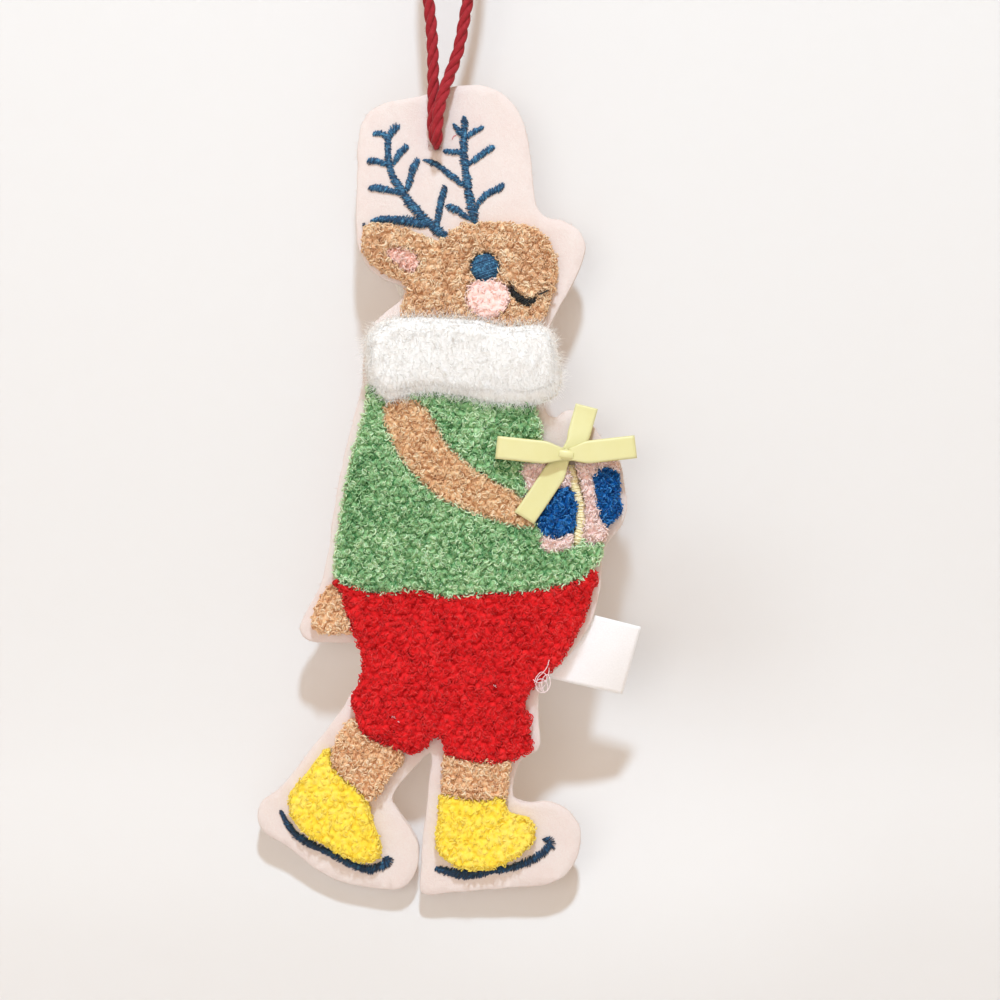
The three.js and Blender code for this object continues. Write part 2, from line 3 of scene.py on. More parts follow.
import bpy
import numpy as np
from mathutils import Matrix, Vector, noise
from mathutils.bvhtree import BVHTree
from mathutils.geometry import delaunay_2d_cdt
from mathutils.kdtree import KDTree


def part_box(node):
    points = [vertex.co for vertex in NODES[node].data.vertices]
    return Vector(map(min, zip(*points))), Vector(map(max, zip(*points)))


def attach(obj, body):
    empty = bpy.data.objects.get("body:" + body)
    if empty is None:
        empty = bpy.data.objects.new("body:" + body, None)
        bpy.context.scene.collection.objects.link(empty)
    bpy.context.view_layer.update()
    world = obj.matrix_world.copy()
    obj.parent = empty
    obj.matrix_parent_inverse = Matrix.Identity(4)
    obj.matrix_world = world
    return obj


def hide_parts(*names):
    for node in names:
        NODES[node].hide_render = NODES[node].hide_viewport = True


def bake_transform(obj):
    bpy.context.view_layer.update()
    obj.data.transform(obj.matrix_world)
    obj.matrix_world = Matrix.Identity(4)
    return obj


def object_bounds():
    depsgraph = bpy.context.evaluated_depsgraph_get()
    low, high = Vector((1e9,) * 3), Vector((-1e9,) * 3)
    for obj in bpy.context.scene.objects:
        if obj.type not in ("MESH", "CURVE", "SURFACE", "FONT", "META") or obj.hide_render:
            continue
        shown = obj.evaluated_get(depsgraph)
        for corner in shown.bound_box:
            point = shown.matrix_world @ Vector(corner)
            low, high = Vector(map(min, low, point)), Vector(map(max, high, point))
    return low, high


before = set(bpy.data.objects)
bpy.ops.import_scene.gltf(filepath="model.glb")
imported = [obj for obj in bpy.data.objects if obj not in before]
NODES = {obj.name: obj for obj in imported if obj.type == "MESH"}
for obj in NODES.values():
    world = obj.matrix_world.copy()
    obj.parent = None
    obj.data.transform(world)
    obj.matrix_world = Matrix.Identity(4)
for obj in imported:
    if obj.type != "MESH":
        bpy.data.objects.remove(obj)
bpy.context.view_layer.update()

# The looks of a hanging felt reindeer: two felt layers, looped yarn pile, satin stitches, a fur collar, a
# ribbon bow, a blank woven label and a twisted cord. Metres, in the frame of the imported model.
MM = 0.001
TINY = 1e-12
FRONT = np.array([0.0, -1.0, 0.0])

# Places on the figure are in thousandths of the front felt's box, across from its left side and up.
FELT_LOW, FELT_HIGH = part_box("front_felt")
FELT_FRONT = FELT_LOW.y
FELT_BACK = FELT_HIGH.y
WHOLE_SHARE = 1000


def spot(shares):
    """The place of one or several pairs of shares, as x and z in metres."""
    pairs = np.atleast_2d(np.array(shares, float)) / WHOLE_SHARE
    size = np.array([FELT_HIGH.x - FELT_LOW.x, FELT_HIGH.z - FELT_LOW.z])
    return pairs * size + np.array([FELT_LOW.x, FELT_LOW.z])


# Camera and light. Each lamp has a name, a place seen from the view's centre, a size, a power and a colour.
VIEW_CENTRE_SHARES = (656, 487.6)
VIEW_WIDTH = 0.2696
VIEW_DISTANCE = 0.6
SENSOR_WIDTH = 36.0
LAMPS = [
    ("key", (0.04, -0.8, 1.08), 0.125, 14.4, (0.66, 0.845, 1.0)),
    ("front", (-0.5, -1.5, 0.1), 1.0, 5.6, (1.0, 0.985, 0.98)),
    ("rear", (-0.3, 0.9, 0.5), 0.8, 2.0, (1.0, 0.99, 0.98)),
]
WARM_COLOUR = (1.0, 0.75, 0.525, 1)
WARM_STRENGTH = 0.73
PALE_COLOUR = (0.9, 0.88, 0.86, 1)
PALE_STRENGTH = 1.0


def add_camera():
    """The camera, straight in front of the view's centre, which is returned."""
    across, up = spot(VIEW_CENTRE_SHARES)[0]
    data = bpy.data.cameras.new("camera")
    data.sensor_width = SENSOR_WIDTH
    data.lens = SENSOR_WIDTH * VIEW_DISTANCE / VIEW_WIDTH
    camera = bpy.data.objects.new("camera", data)
    camera.location = (across, FELT_FRONT - VIEW_DISTANCE, up)
    camera.rotation_euler = (math.radians(90), 0, 0)
    bpy.context.scene.collection.objects.link(camera)
    bpy.context.scene.camera = camera
    return across, 0, up


def add_lamps(centre):
    for name, offset, size, power, colour in LAMPS:
        data = bpy.data.lights.new(name, "AREA")
        data.shape = "DISK"
        data.size = size
        data.energy = power
        data.color = colour
        lamp = bpy.data.objects.new(name, data)
        lamp.location = [middle + away for middle, away in zip(centre, offset)]
        lamp.rotation_euler = Vector(offset).to_track_quat("Z", "Y").to_euler()
        bpy.context.scene.collection.objects.link(lamp)


def add_sky():
    """Warm light from all round, behind which the camera sees a pale ground."""
    world = bpy.data.worlds.new("studio")
    world.use_nodes = True
    tree = world.node_tree
    warm = tree.nodes["Background"]
    warm.inputs["Color"].default_value = WARM_COLOUR
    warm.inputs["Strength"].default_value = WARM_STRENGTH
    pale = add_node(tree, "ShaderNodeBackground", {"Color": PALE_COLOUR, "Strength": PALE_STRENGTH})
    camera_ray = add_node(tree, "ShaderNodeLightPath").outputs["Is Camera Ray"]
    mix = add_node(tree, "ShaderNodeMixShader", {0: camera_ray, 1: warm.outputs[0], 2: pale.outputs[0]})
    tree.links.new(mix.outputs[0], tree.nodes["World Output"].inputs["Surface"])
    bpy.context.scene.world = world
    bpy.context.scene.view_settings.view_transform = "Standard"


# Small tools for materials
def add_node(tree, kind, inputs=None, **settings):
    """A node with its settings, whose inputs are given as values or as other nodes' outputs."""
    made = tree.nodes.new(kind)
    for name, value in settings.items():
        setattr(made, name, value)
    for name, value in (inputs or {}).items():
        if isinstance(value, bpy.types.NodeSocket):
            tree.links.new(value, made.inputs[name])
        else:
            made.inputs[name].default_value = value
    return made


def linear(red, green, blue):
    """A linear colour from display values of 0 to 255."""
    def channel(value):
        share = value / 255
        return share / 12.92 if share <= 0.04045 else ((share + 0.055) / 1.055) ** 2.4
    return channel(red), channel(green), channel(blue)


class Look:
    """A material in the making. Its methods add nodes and return the values that these give."""

    def __init__(self, name, roughness, sheen, specular):
        self.material = bpy.data.materials.new(name)
        self.material.use_nodes = True
        self.tree = self.material.node_tree
        self.shader = self.tree.nodes["Principled BSDF"]
        self.give("Roughness", roughness)
        self.give("Sheen Weight", sheen)
        self.give("Sheen Roughness", SHEEN_ROUGHNESS)
        self.give("Specular IOR Level", specular)
        self.coordinates = self.node("ShaderNodeTexCoord").outputs["Object"]

    def give(self, name, value):
        self.shader.inputs[name].default_value = value

    def node(self, kind, inputs=None, **settings):
        return add_node(self.tree, kind, inputs, **settings)

    def scatter(self, weight, colour, depth):
        self.give("Subsurface Weight", weight)
        self.give("Subsurface Radius", colour)
        self.give("Subsurface Scale", depth)

    def noise(self, scale, detail, distortion=0.0):
        inputs = {"Vector": self.coordinates, "Scale": scale, "Detail": detail, "Distortion": distortion}
        return self.node("ShaderNodeTexNoise", inputs).outputs["Fac"]

    def attribute(self, name):
        return self.node("ShaderNodeAttribute", attribute_name=name).outputs["Fac"]

    def math(self, operation, first, second=0.5, third=0.5):
        return self.node("ShaderNodeMath", {0: first, 1: second, 2: third}, operation=operation).outputs[0]

    def mixed(self, first, second, share):
        """A share of the first value and the rest of the second."""
        rest = self.math("MULTIPLY", second, 1 - share)
        return self.math("ADD", self.math("MULTIPLY", first, share), rest)

    def waves(self, name, pitch):
        """Even waves over an attribute that is a distance."""
        return self.math("SINE", self.math("MULTIPLY", self.attribute(name), 2 * math.pi / pitch))

    def toned(self, amount, *noises):
        """The tone of each loop or thread, varied by noises whose values lie round a half."""
        varied = noises[0]
        for other in noises[1:]:
            varied = self.math("ADD", varied, other)
        varied = self.math("MULTIPLY_ADD", varied, amount, -amount * len(noises) / 2)
        return self.math("ADD", self.attribute("tone"), varied)

    def paint(self, factor, *stops):
        """Colours along a ramp: each stop is a place from 0 to 1 and a linear colour."""
        ramp = self.node("ShaderNodeValToRGB", {"Fac": factor})
        elements = ramp.color_ramp.elements
        while len(elements) < len(stops):
            elements.new(0.5)
        for element, (place, colour) in zip(elements, stops):
            element.position = place
            element.color = (*colour, 1)
        self.tree.links.new(ramp.outputs["Color"], self.shader.inputs["Base Color"])

    def relief(self, height, strength, distance):
        bump = self.node("ShaderNodeBump", {"Height": height, "Strength": strength, "Distance": distance})
        self.tree.links.new(bump.outputs["Normal"], self.shader.inputs["Normal"])


# Materials
SHEEN_ROUGHNESS = 0.5
YARN_SCATTER = 0.25
YARN_SCATTER_DEPTH = 0.6 * MM
YARN_RELIEF = 0.1 * MM
FELT_RELIEF = 0.25 * MM
THREAD_RELIEF = 0.05 * MM
FUR_SCATTER = 0.35
FUR_SCATTER_DEPTH = 1.2 * MM
CORD_RELIEF = 0.12 * MM
RIB_PITCH = 0.28 * MM
RIB_RELIEF = 0.04 * MM
BACKING_RELIEF = 0.1 * MM
TAPE_SCATTER = 0.6
TAPE_SCATTER_DEPTH = 0.5 * MM
WEAVE_PITCH = 0.4 * MM
WEAVE_RELIEF = 0.05 * MM
STAGE_SHADE = 0.985


def yarn_material(name, dark, middle, light, scatter):
    """Fuzzy plied yarn: each loop has its own tone, and finer flecks and fibres lie over it."""
    look = Look(name, 0.9, 0.1, 0.1)
    look.scatter(scatter, (1.0, 0.7, 0.5), YARN_SCATTER_DEPTH * scatter / YARN_SCATTER)
    factor = look.toned(0.4, look.noise(1400, 3), look.noise(90, 2))
    look.paint(factor, (0.1, linear(*dark)), (0.5, linear(*middle)), (0.95, linear(*light)))
    look.relief(look.noise(4200, 4, 1.5), 0.4, YARN_RELIEF)
    return look.material


def felt_material():
    look = Look("pink_felt", 0.95, 0.3, 0.1)
    fibre = look.noise(1100, 6, 2.5)
    factor = look.mixed(fibre, look.noise(120, 3), 0.6)
    look.paint(factor, (0.3, linear(221, 203, 198)), (0.7, linear(226, 217, 213)))
    look.relief(look.math("ADD", fibre, look.noise(350, 4, 1.0)), 0.5, FELT_RELIEF)
    return look.material


def thread_material(name, dark, middle, light):
    """Shiny embroidery thread, with a tone for each stitch and painted glints where its flecks are light."""
    look = Look(name, 0.48, 0.1, 0.4)
    # Painted glints: the fleck noise lifts spots of each thread to the light end of the ramp.
    factor = look.toned(1.6, look.noise(1500, 2, 1.0))
    look.paint(factor, (0.0, linear(*dark)), (0.55, linear(*middle)), (1.0, linear(*light)))
    look.relief(look.noise(5200, 2), 0.3, THREAD_RELIEF)
    return look.material


def fur_material():
    look = Look("white_fur", 0.9, 0.3, 0.1)
    look.scatter(FUR_SCATTER, (1.0, 1.0, 0.95), FUR_SCATTER_DEPTH)
    factor = look.toned(0.5, look.noise(160, 2))
    look.paint(factor, (0.0, linear(242, 240, 236)), (0.8, linear(251, 250, 248)))
    return look.material


def cord_material():
    look = Look("crimson_cord", 0.7, 0.1, 0.2)
    factor = look.toned(0.6, look.noise(900, 3))
    look.paint(factor, (0.0, linear(96, 12, 22)), (0.5, linear(154, 30, 40)), (1.0, linear(192, 60, 68)))
    look.relief(look.noise(3600, 3, 1.0), 0.5, CORD_RELIEF)
    return look.material


def ribbon_material():
    """Satin ribbon: fine ribs across its length, with dull woven edges."""
    look = Look("yellow_satin", 0.36, 0.15, 0.4)
    factor = look.mixed(look.attribute("tone"), look.noise(240, 2), 0.55)
    stops = (0.15, linear(217, 212, 153)), (0.55, linear(221, 218, 168)), (0.9, linear(210, 202, 114))
    look.paint(factor, *stops)
    look.relief(look.waves("along", RIB_PITCH), 0.25, RIB_RELIEF)
    return look.material


def backing_material():
    look = Look("white_nonwoven", 0.95, 0.2, 0.1)
    fibre = look.noise(1600, 4, 2.0)
    look.paint(fibre, (0.3, linear(214, 212, 206)), (0.7, linear(230, 229, 225)))
    look.relief(fibre, 0.4, BACKING_RELIEF)
    return look.material


def label_material():
    """Thin woven tape, which lets some light through."""
    look = Look("white_tape", 0.7, 0.1, 0.25)
    look.scatter(TAPE_SCATTER, (1.0, 1.0, 1.0), TAPE_SCATTER_DEPTH)
    look.paint(look.noise(2600, 2), (0.2, linear(234, 234, 238)), (0.8, linear(243, 243, 247)))
    weave = look.math("MULTIPLY", look.waves("along", WEAVE_PITCH), look.waves("across", WEAVE_PITCH))
    look.relief(weave, 0.4, WEAVE_RELIEF)
    return look.material


def stage_material(name, colour, one_sided):
    """A plain matt surface. A one-sided one is seen from its front alone and stops no light."""
    look = Look(name, 0.9, 0.0, 0.1)
    shade = tuple(STAGE_SHADE * channel for channel in colour)
    look.paint(look.noise(3, 2), (0.3, shade), (0.7, colour))
    if one_sided:
        camera_ray = look.node("ShaderNodeLightPath").outputs["Is Camera Ray"]
        front = look.math("SUBTRACT", 1.0, look.node("ShaderNodeNewGeometry").outputs["Backfacing"])
        shown = look.math("MULTIPLY", camera_ray, front)
        clear = look.node("ShaderNodeBsdfTransparent").outputs[0]
        mix = look.node("ShaderNodeMixShader", {0: shown, 1: clear, 2: look.shader.outputs[0]})
        look.tree.links.new(mix.outputs[0], look.tree.nodes["Material Output"].inputs["Surface"])
    return look.material


# Small tools for lines and places
LINE_STEPS = 12
TUBE_GUIDE = (0.31, 0.87, 0.39)


def unit(vectors):
    return vectors / (np.linalg.norm(vectors, axis=-1, keepdims=True) + TINY)


def any_way(rng, count):
    """Directions at random."""
    return unit(rng.normal(size=(count, 3)))


def eased(share):
    """A share from 0 to 1 that starts and stops gently."""
    return share * share * (3 - 2 * share)


def quarter_turn(vectors):
    """Directions in x and z, turned by a quarter."""
    return np.stack([-vectors[..., 1], vectors[..., 0]], -1)


def at_depth(places, depth):
    """Points from places in x and z and from how far back they lie."""
    return np.stack([places[..., 0], np.broadcast_to(depth, places.shape[:-1]), places[..., 1]], -1)


def swept(turns, first, second):
    """Directions at some angles between a first and a second one."""
    return np.cos(turns)[..., None] * first + np.sin(turns)[..., None] * second


def lumps(x, z, layers):
    """Soft lumps at a place, in millimetres: each layer of noise has a scale, a seed and a height."""
    return sum(height * noise.noise(Vector((x * scale, z * scale, seed))) for scale, seed, height in layers)


def travel(points):
    """How far along a line each of its points is."""
    return np.concatenate([[0], np.cumsum(np.linalg.norm(np.diff(points, axis=0), axis=1))])


def wandering(rng, count, spread, window):
    """Random values along a line, smoothed over a window of places."""
    return np.convolve(rng.normal(0, spread, count + window - 1), np.ones(window) / window, "valid")


def frames(paths, guide):
    """Three directions at each place of paths, one along and two across, without needless turns."""
    along = unit(np.gradient(paths, axis=1))
    normal = unit(np.cross(along[:, 0], np.array(guide)))
    normals = np.empty_like(paths)
    for i in range(paths.shape[1]):
        normal = unit(normal - along[:, i] * (normal * along[:, i]).sum(1, keepdims=True))
        normals[:, i] = normal
    return along, normals, np.cross(along, normals)


def smooth_line(points, step, closed=False):
    """Places about a step apart on a centripetal curve through points."""
    points = np.asarray(points, float)
    if closed:
        ring = np.concatenate([points[-1:], points, points[:2]])
    else:
        ring = np.concatenate([2 * points[:1] - points[1:2], points, 2 * points[-1:] - points[-2:-1]])
    dense = []
    shares = np.linspace(0, 1, LINE_STEPS, endpoint=False)[:, None]
    for p0, p1, p2, p3 in zip(ring, ring[1:], ring[2:], ring[3:]):
        knots = [0.0]
        for a, b in ((p0, p1), (p1, p2), (p2, p3)):
            knots.append(knots[-1] + math.sqrt(np.linalg.norm(b - a) + TINY))
        t0, t1, t2, t3 = knots
        t = t1 + (t2 - t1) * shares

        def between(first, second, start, end):
            return (end - t) / (end - start) * first + (t - start) / (end - start) * second

        a1 = between(p0, p1, t0, t1)
        a2 = between(p1, p2, t1, t2)
        a3 = between(p2, p3, t2, t3)
        dense.append(between(between(a1, a2, t0, t2), between(a2, a3, t1, t3), t1, t2))
    dense = np.concatenate(dense + [points[:1] if closed else points[-1:]])
    lengths = travel(dense)
    count = max(2, round(lengths[-1] / step))
    even = np.linspace(0, lengths[-1], count + 1)
    line = np.stack([np.interp(even, lengths, dense[:, i]) for i in range(dense.shape[1])], 1)
    return line[:-1] if closed else line


def directions(rim):
    """The direction out of the material all along an edge of a node's back."""
    return quarter_turn(unit(np.roll(rim, -1, axis=0) - np.roll(rim, 1, axis=0)))


def inside(points, outline):
    """Which points, as x and z, lie inside a closed outline."""
    x, z = points[:, :1], points[:, 1:]
    x1, z1 = outline[:, 0], outline[:, 1]
    x2, z2 = np.roll(x1, -1), np.roll(z1, -1)
    crosses = (z1 > z) != (z2 > z)
    reach = (x2 - x1) * (z - z1) / np.where(z2 == z1, TINY, z2 - z1) + x1
    return (crosses & (x < reach)).sum(1) % 2 == 1


def scattered(low, high, pitch, rng, jitter=0.3):
    """Places on a jittered triangular grid over a box in x and z."""
    rows = np.arange(low[1], high[1] + pitch, pitch * math.sqrt(3) / 2)
    columns = np.arange(low[0], high[0] + pitch, pitch)
    across, up = np.meshgrid(columns, rows)
    across = across + (np.arange(len(rows)) % 2)[:, None] * pitch / 2
    places = np.stack([across.ravel(), up.ravel()], 1)
    return places + rng.uniform(-jitter, jitter, places.shape) * pitch


# Small tools for meshes
WELD_STEP = 0.002 * MM
FLAT_SLACK = 0.01 * MM
SMALLEST_COSINE = 0.05


def add_mesh(name, corners, face_groups, material, smooth=True, **values):
    """An object from corners and arrays of faces, each array of one face size, with values at its corners."""
    mesh = bpy.data.meshes.new(name)
    corners = np.asarray(corners, np.float32)
    groups = [np.asarray(group, np.int32) for group in face_groups if len(group)]
    loops = np.concatenate([group.ravel() for group in groups])
    sizes = np.concatenate([np.full(len(group), group.shape[1]) for group in groups])
    mesh.vertices.add(len(corners))
    mesh.vertices.foreach_set("co", corners.ravel())
    mesh.loops.add(len(loops))
    mesh.loops.foreach_set("vertex_index", loops)
    mesh.polygons.add(len(sizes))
    mesh.polygons.foreach_set("loop_start", (np.cumsum(sizes) - sizes).astype(np.int32))
    mesh.update(calc_edges=True)
    mesh.validate()
    mesh.polygons.foreach_set("use_smooth", np.full(len(mesh.polygons), smooth))
    for key, value in values.items():
        attribute = mesh.attributes.new(key, "FLOAT", "POINT")
        attribute.data.foreach_set("value", np.asarray(value, np.float32))
    mesh.materials.append(material)
    made = bpy.data.objects.new(name, mesh)
    bpy.context.scene.collection.objects.link(made)
    return made


def carried(made, slot, *nodes):
    """Puts a piece on the figure and hides the CAD nodes that it stands for. The slot is not used."""
    if nodes:
        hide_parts(*nodes)
    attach(made, "figure")
    return made


def grid_cells(index):
    """The faces of a grid of corner numbers."""
    return np.stack([index[:-1, :-1], index[:-1, 1:], index[1:, 1:], index[1:, :-1]], -1).reshape(-1, 4)


def ring_walls(lower, upper):
    """The faces between two closed rings of corner numbers."""
    return np.stack([lower, np.roll(lower, -1), np.roll(upper, -1), upper], 1)


def add_slab(name, front, rear, material, **values):
    """A thin piece from the grids of its front and its rear, with values over the grid."""
    rows, columns = front.shape[:2]
    index = np.arange(rows * columns).reshape(rows, columns)
    cells = grid_cells(index)[:, [0, 3, 2, 1]]
    border = np.concatenate([index[0], index[1:, -1], index[-1, -2::-1], index[-2:0:-1, 0]])
    faces = [cells, cells[:, ::-1] + index.size, ring_walls(border, border + index.size)]
    corners = np.concatenate([front.reshape(-1, 3), rear.reshape(-1, 3)])
    over = {key: np.tile(np.broadcast_to(value, (rows, columns)).ravel(), 2) for key, value in values.items()}
    return add_mesh(name, corners, faces, material, **over)


def tube_rings(paths, radii, sides):
    """Corners and faces of closed tubes: paths is (count, steps, 3), and radii (count, steps)."""
    count, steps, _ = paths.shape
    _, normals, others = frames(paths, TUBE_GUIDE)
    ring = swept(2 * math.pi * np.arange(sides) / sides, normals[:, :, None], others[:, :, None])
    corners = paths[:, :, None] + radii[:, :, None, None] * ring
    index = np.arange(count * steps * sides).reshape(count, steps, sides)
    turned = np.roll(index, -1, axis=2)
    walls = np.stack([index[:, :-1], turned[:, :-1], turned[:, 1:], index[:, 1:]], -1).reshape(-1, 4)
    return corners.reshape(-1, 3), walls, np.concatenate([index[:, 0, ::-1], index[:, -1]])


class Bundle:
    """Many tubes and other faces that make one piece."""

    def __init__(self):
        self.corners = []
        self.faces = {}
        self.tones = []
        self.count = 0

    def add(self, corners, face_groups, tones):
        for group in face_groups:
            group = np.asarray(group)
            if len(group):
                self.faces.setdefault(group.shape[1], []).append(group + self.count)
        self.corners.append(np.asarray(corners))
        self.tones.append(np.broadcast_to(np.asarray(tones, float), len(corners)))
        self.count += len(corners)

    def add_bed(self, node, depth_share, inset, tone):
        """A lower copy of a CAD node, drawn in by an inset, to close the view between what lies over it."""
        corners, triangles, normals = welded(node)
        back = corners[:, 1].max()
        normals[:, 1] = 0
        corners = corners - normals * inset
        corners[:, 1] = back + (corners[:, 1] - back) * depth_share
        self.add(corners, [triangles], tone)

    def add_tubes(self, paths, radii, sides, tones):
        paths = np.asarray(paths, float)
        radii = np.broadcast_to(np.asarray(radii, float), paths.shape[:2])
        corners, walls, caps = tube_rings(paths, radii, sides)
        each = np.repeat(np.broadcast_to(np.asarray(tones, float), len(paths)), paths.shape[1] * sides)
        self.add(corners, [walls, caps], each)

    def add_strands(self, starts, outward, bends, lengths, radii, tones):
        """Thin strands that leave their starts outward and bend: radii has a column for each step."""
        share = np.linspace(0, 1, radii.shape[1])[None, :, None]
        paths = starts[:, None] + lengths * (outward[:, None] * share + bends[:, None] * share**2)
        self.add_tubes(paths, radii, 3, tones)

    def build(self, name, material):
        groups = [np.concatenate(found) for found in self.faces.values()]
        return add_mesh(name, np.concatenate(self.corners), groups, material, tone=np.concatenate(self.tones))


def welded(node):
    """The corners, triangles and outward corner normals of a CAD node, with its split corners joined."""
    mesh = NODES[node].data
    mesh.calc_loop_triangles()
    corners = np.empty(len(mesh.vertices) * 3)
    mesh.vertices.foreach_get("co", corners)
    triangles = np.empty(len(mesh.loop_triangles) * 3, np.int32)
    mesh.loop_triangles.foreach_get("vertices", triangles)
    corners = corners.reshape(-1, 3)
    rounded = np.round(corners / WELD_STEP)
    _, first, same = np.unique(rounded, axis=0, return_index=True, return_inverse=True)
    corners = corners[first]
    triangles = same.ravel()[triangles.reshape(-1, 3)]
    a, b, c = (corners[triangles[:, i]] for i in range(3))
    weights = np.cross(b - a, c - a)
    normals = np.zeros_like(corners)
    for i in range(3):
        np.add.at(normals, triangles[:, i], weights)
    return corners, triangles, unit(normals)


def back_outlines(node):
    """The edges of a CAD node's flat back, as x and z in order, the outer one first, then its holes."""
    corners, triangles, _ = welded(node)
    depth = corners[:, 1].max() - FLAT_SLACK
    flat = triangles[(corners[triangles][:, :, 1] > depth).all(axis=1)]
    following = {}
    edges = {(a, b) for t in flat for a, b in ((t[0], t[1]), (t[1], t[2]), (t[2], t[0]))}
    for a, b in edges:
        if (b, a) not in edges:
            following[a] = b
    loops = []
    while following:
        start, at = following.popitem()
        loop = [start]
        while at != start:
            loop.append(at)
            at = following.pop(at)
        loops.append(corners[loop][:, [0, 2]])
    return sorted(loops, key=lambda loop: -np.ptp(loop, axis=0).sum())


def on_front(node, places):
    """Where places in x and z meet the front of a CAD node: points, their normals, and which places."""
    corners, triangles, _ = welded(node)
    tree = BVHTree.FromPolygons(corners.tolist(), triangles.tolist())
    points, normals, which = [], [], []
    for i, (x, z) in enumerate(places):
        hit, normal, _, _ = tree.ray_cast(Vector((x, -1, z)), Vector((0, 1, 0)))
        if hit is not None and normal.y < -SMALLEST_COSINE:
            points.append(hit)
            normals.append(normal)
            which.append(i)
    points, normals = (np.array(found, float).reshape(-1, 3) for found in (points, normals))
    return points, normals, np.array(which, int)


def front_grid(node, step):
    """A grid over the front of a CAD node: points, normals, places in x and z, and faces."""
    low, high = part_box(node)
    columns = np.arange(low.x, high.x + step, step)
    rows = np.arange(low.z, high.z + step, step)
    across, up = np.meshgrid(columns, rows)
    places = np.stack([across.ravel(), up.ravel()], 1)
    points, normals, which = on_front(node, places)
    index = np.full(len(places), -1)
    index[which] = np.arange(len(which))
    cells = grid_cells(index.reshape(across.shape))
    return points, normals, places[which], cells[(cells >= 0).all(1)]


# Looped pile. It grows in tufts: each one is a small dome with thin curls of yarn on it and hairs round them.
# The domes carry painted shade: they are darker low down, between the tufts.
CURL_STEPS = 6
CURL_SIDES = 3
CURL_TURNS = (-30, 210)
CURLS_EACH = 3
CURL_FLATNESS = (0.65, 1.0)
CURL_PULL = 0.6
CURL_WIDTHS = (0.7, 1.25)
CURL_STRAY = 1.2
TUFT_SPREAD = (0.1, 0.45)
TUFT_WAVER = 0.05
TUFT_REACHES = (0.5, 0.64)
YARN_THICKNESSES = (0.75, 1.2)
DOME_GRID = 0.38 * MM
DOME_HEIGHT = 0.95 * MM
DOME_SINK = 0.75 * MM
# The share of a dome's height below which it is painted darker and above which lighter, as painted shade
UNSHADED_HEIGHT = 0.8
NEAR_TUFTS = 3
BED_SHARE = 0.82
BED_GROWTH = 0.1 * MM
HAIR_RADIUS = 0.04 * MM
HAIR_REACH = 0.95 * MM
HAIR_LENGTHS = (0.5, 1.2)
HAIR_TAPER = (1.0, 0.4)
# Hair tones sit at the light end of the yarn's ramp: a painted sheen for the pale halo round the pile
HAIR_SHEEN_TONES = (0.55, 0.95)
HAIR_LIFT = 0.7
HAIR_STRAY = 0.6
HOLE_REACH = 0.45
RIM_ROWS = (0.18, 0.45, 0.72, 0.94)
ROW_WAVER = (0.8, 1.2)
RIM_PITCH_SHARE = 0.8
RIM_BULGES = (-0.3, 0.4)
RIM_SWAY = 0.3
RIM_SHIFT = 0.15
RIM_WIDTHS = (0.75, 1.25)
RIM_STRAY = 1.3
RIM_FACING = -0.7
PATCH_CURLS = 6
PATCH_SPREAD = 0.4 * MM
PATCH_LEVELS = (0.2, 0.9)
PATCH_WIDTHS = (0.8, 1.2)
SLOT_HEIGHT = 6.0 * MM


def curls(centres, axes, rng, widths):
    """Open rings of yarn round their centres, each across its own axis and pulled out along it."""
    count = len(centres)
    start = unit(np.cross(axes, any_way(rng, count)))
    other = np.cross(axes, start)
    turn = np.radians(np.linspace(*CURL_TURNS, CURL_STEPS))[None, :, None]
    share = np.linspace(-0.5, 0.5, CURL_STEPS)[None, :, None]
    wide = widths[:, None, None] / 2
    flat = wide * rng.uniform(*CURL_FLATNESS, (count, 1, 1))
    pull = 2 * wide * rng.uniform(-CURL_PULL, CURL_PULL, (count, 1, 1))
    ring = start[:, None] * wide * np.cos(turn) + other[:, None] * flat * np.sin(turn)
    return centres[:, None] + ring + axes[:, None] * pull * share


def domes(places, tufts, reaches):
    """How high places in x and z lie on the domes of the tufts near them, from 0 to 1, and whose."""
    tree = KDTree(len(tufts))
    for i, (x, z) in enumerate(tufts):
        tree.insert((x, z, 0), i)
    tree.balance()
    heights = np.zeros(len(places))
    owners = np.zeros(len(places), int)
    for i, (x, z) in enumerate(places):
        for _, owner, distance in tree.find_n((x, z, 0), NEAR_TUFTS):
            height = math.sqrt(max(0.0, 1 - (distance / reaches[owner]) ** 2))
            if height > heights[i] or owners[i] == 0:
                heights[i] = height
                owners[i] = owner
    return heights, owners


def tuft_curls(tufts, normals, owner, rng, pitch, width, relief, sink):
    """Curls over the domes of their tufts, and the way each one faces."""
    count = len(owner)
    aside = rng.normal(0, 1, (count, 3))
    aside = aside - normals[owner] * (aside * normals[owner]).sum(1, keepdims=True)
    aside = unit(aside) * rng.uniform(*TUFT_SPREAD, (count, 1))
    fall = 1 - np.linalg.norm(aside, axis=1, keepdims=True) ** 2
    rise = relief * (DOME_HEIGHT * fall - DOME_SINK) + (TUFT_WAVER * rng.normal(size=(count, 1)) - sink) * MM
    centres = tufts[owner] + aside * pitch + normals[owner] * rise
    axes = unit(normals[owner] + aside + CURL_STRAY * any_way(rng, count))
    return curls(centres, axes, rng, width * rng.uniform(*CURL_WIDTHS, count)), unit(normals[owner] + aside)


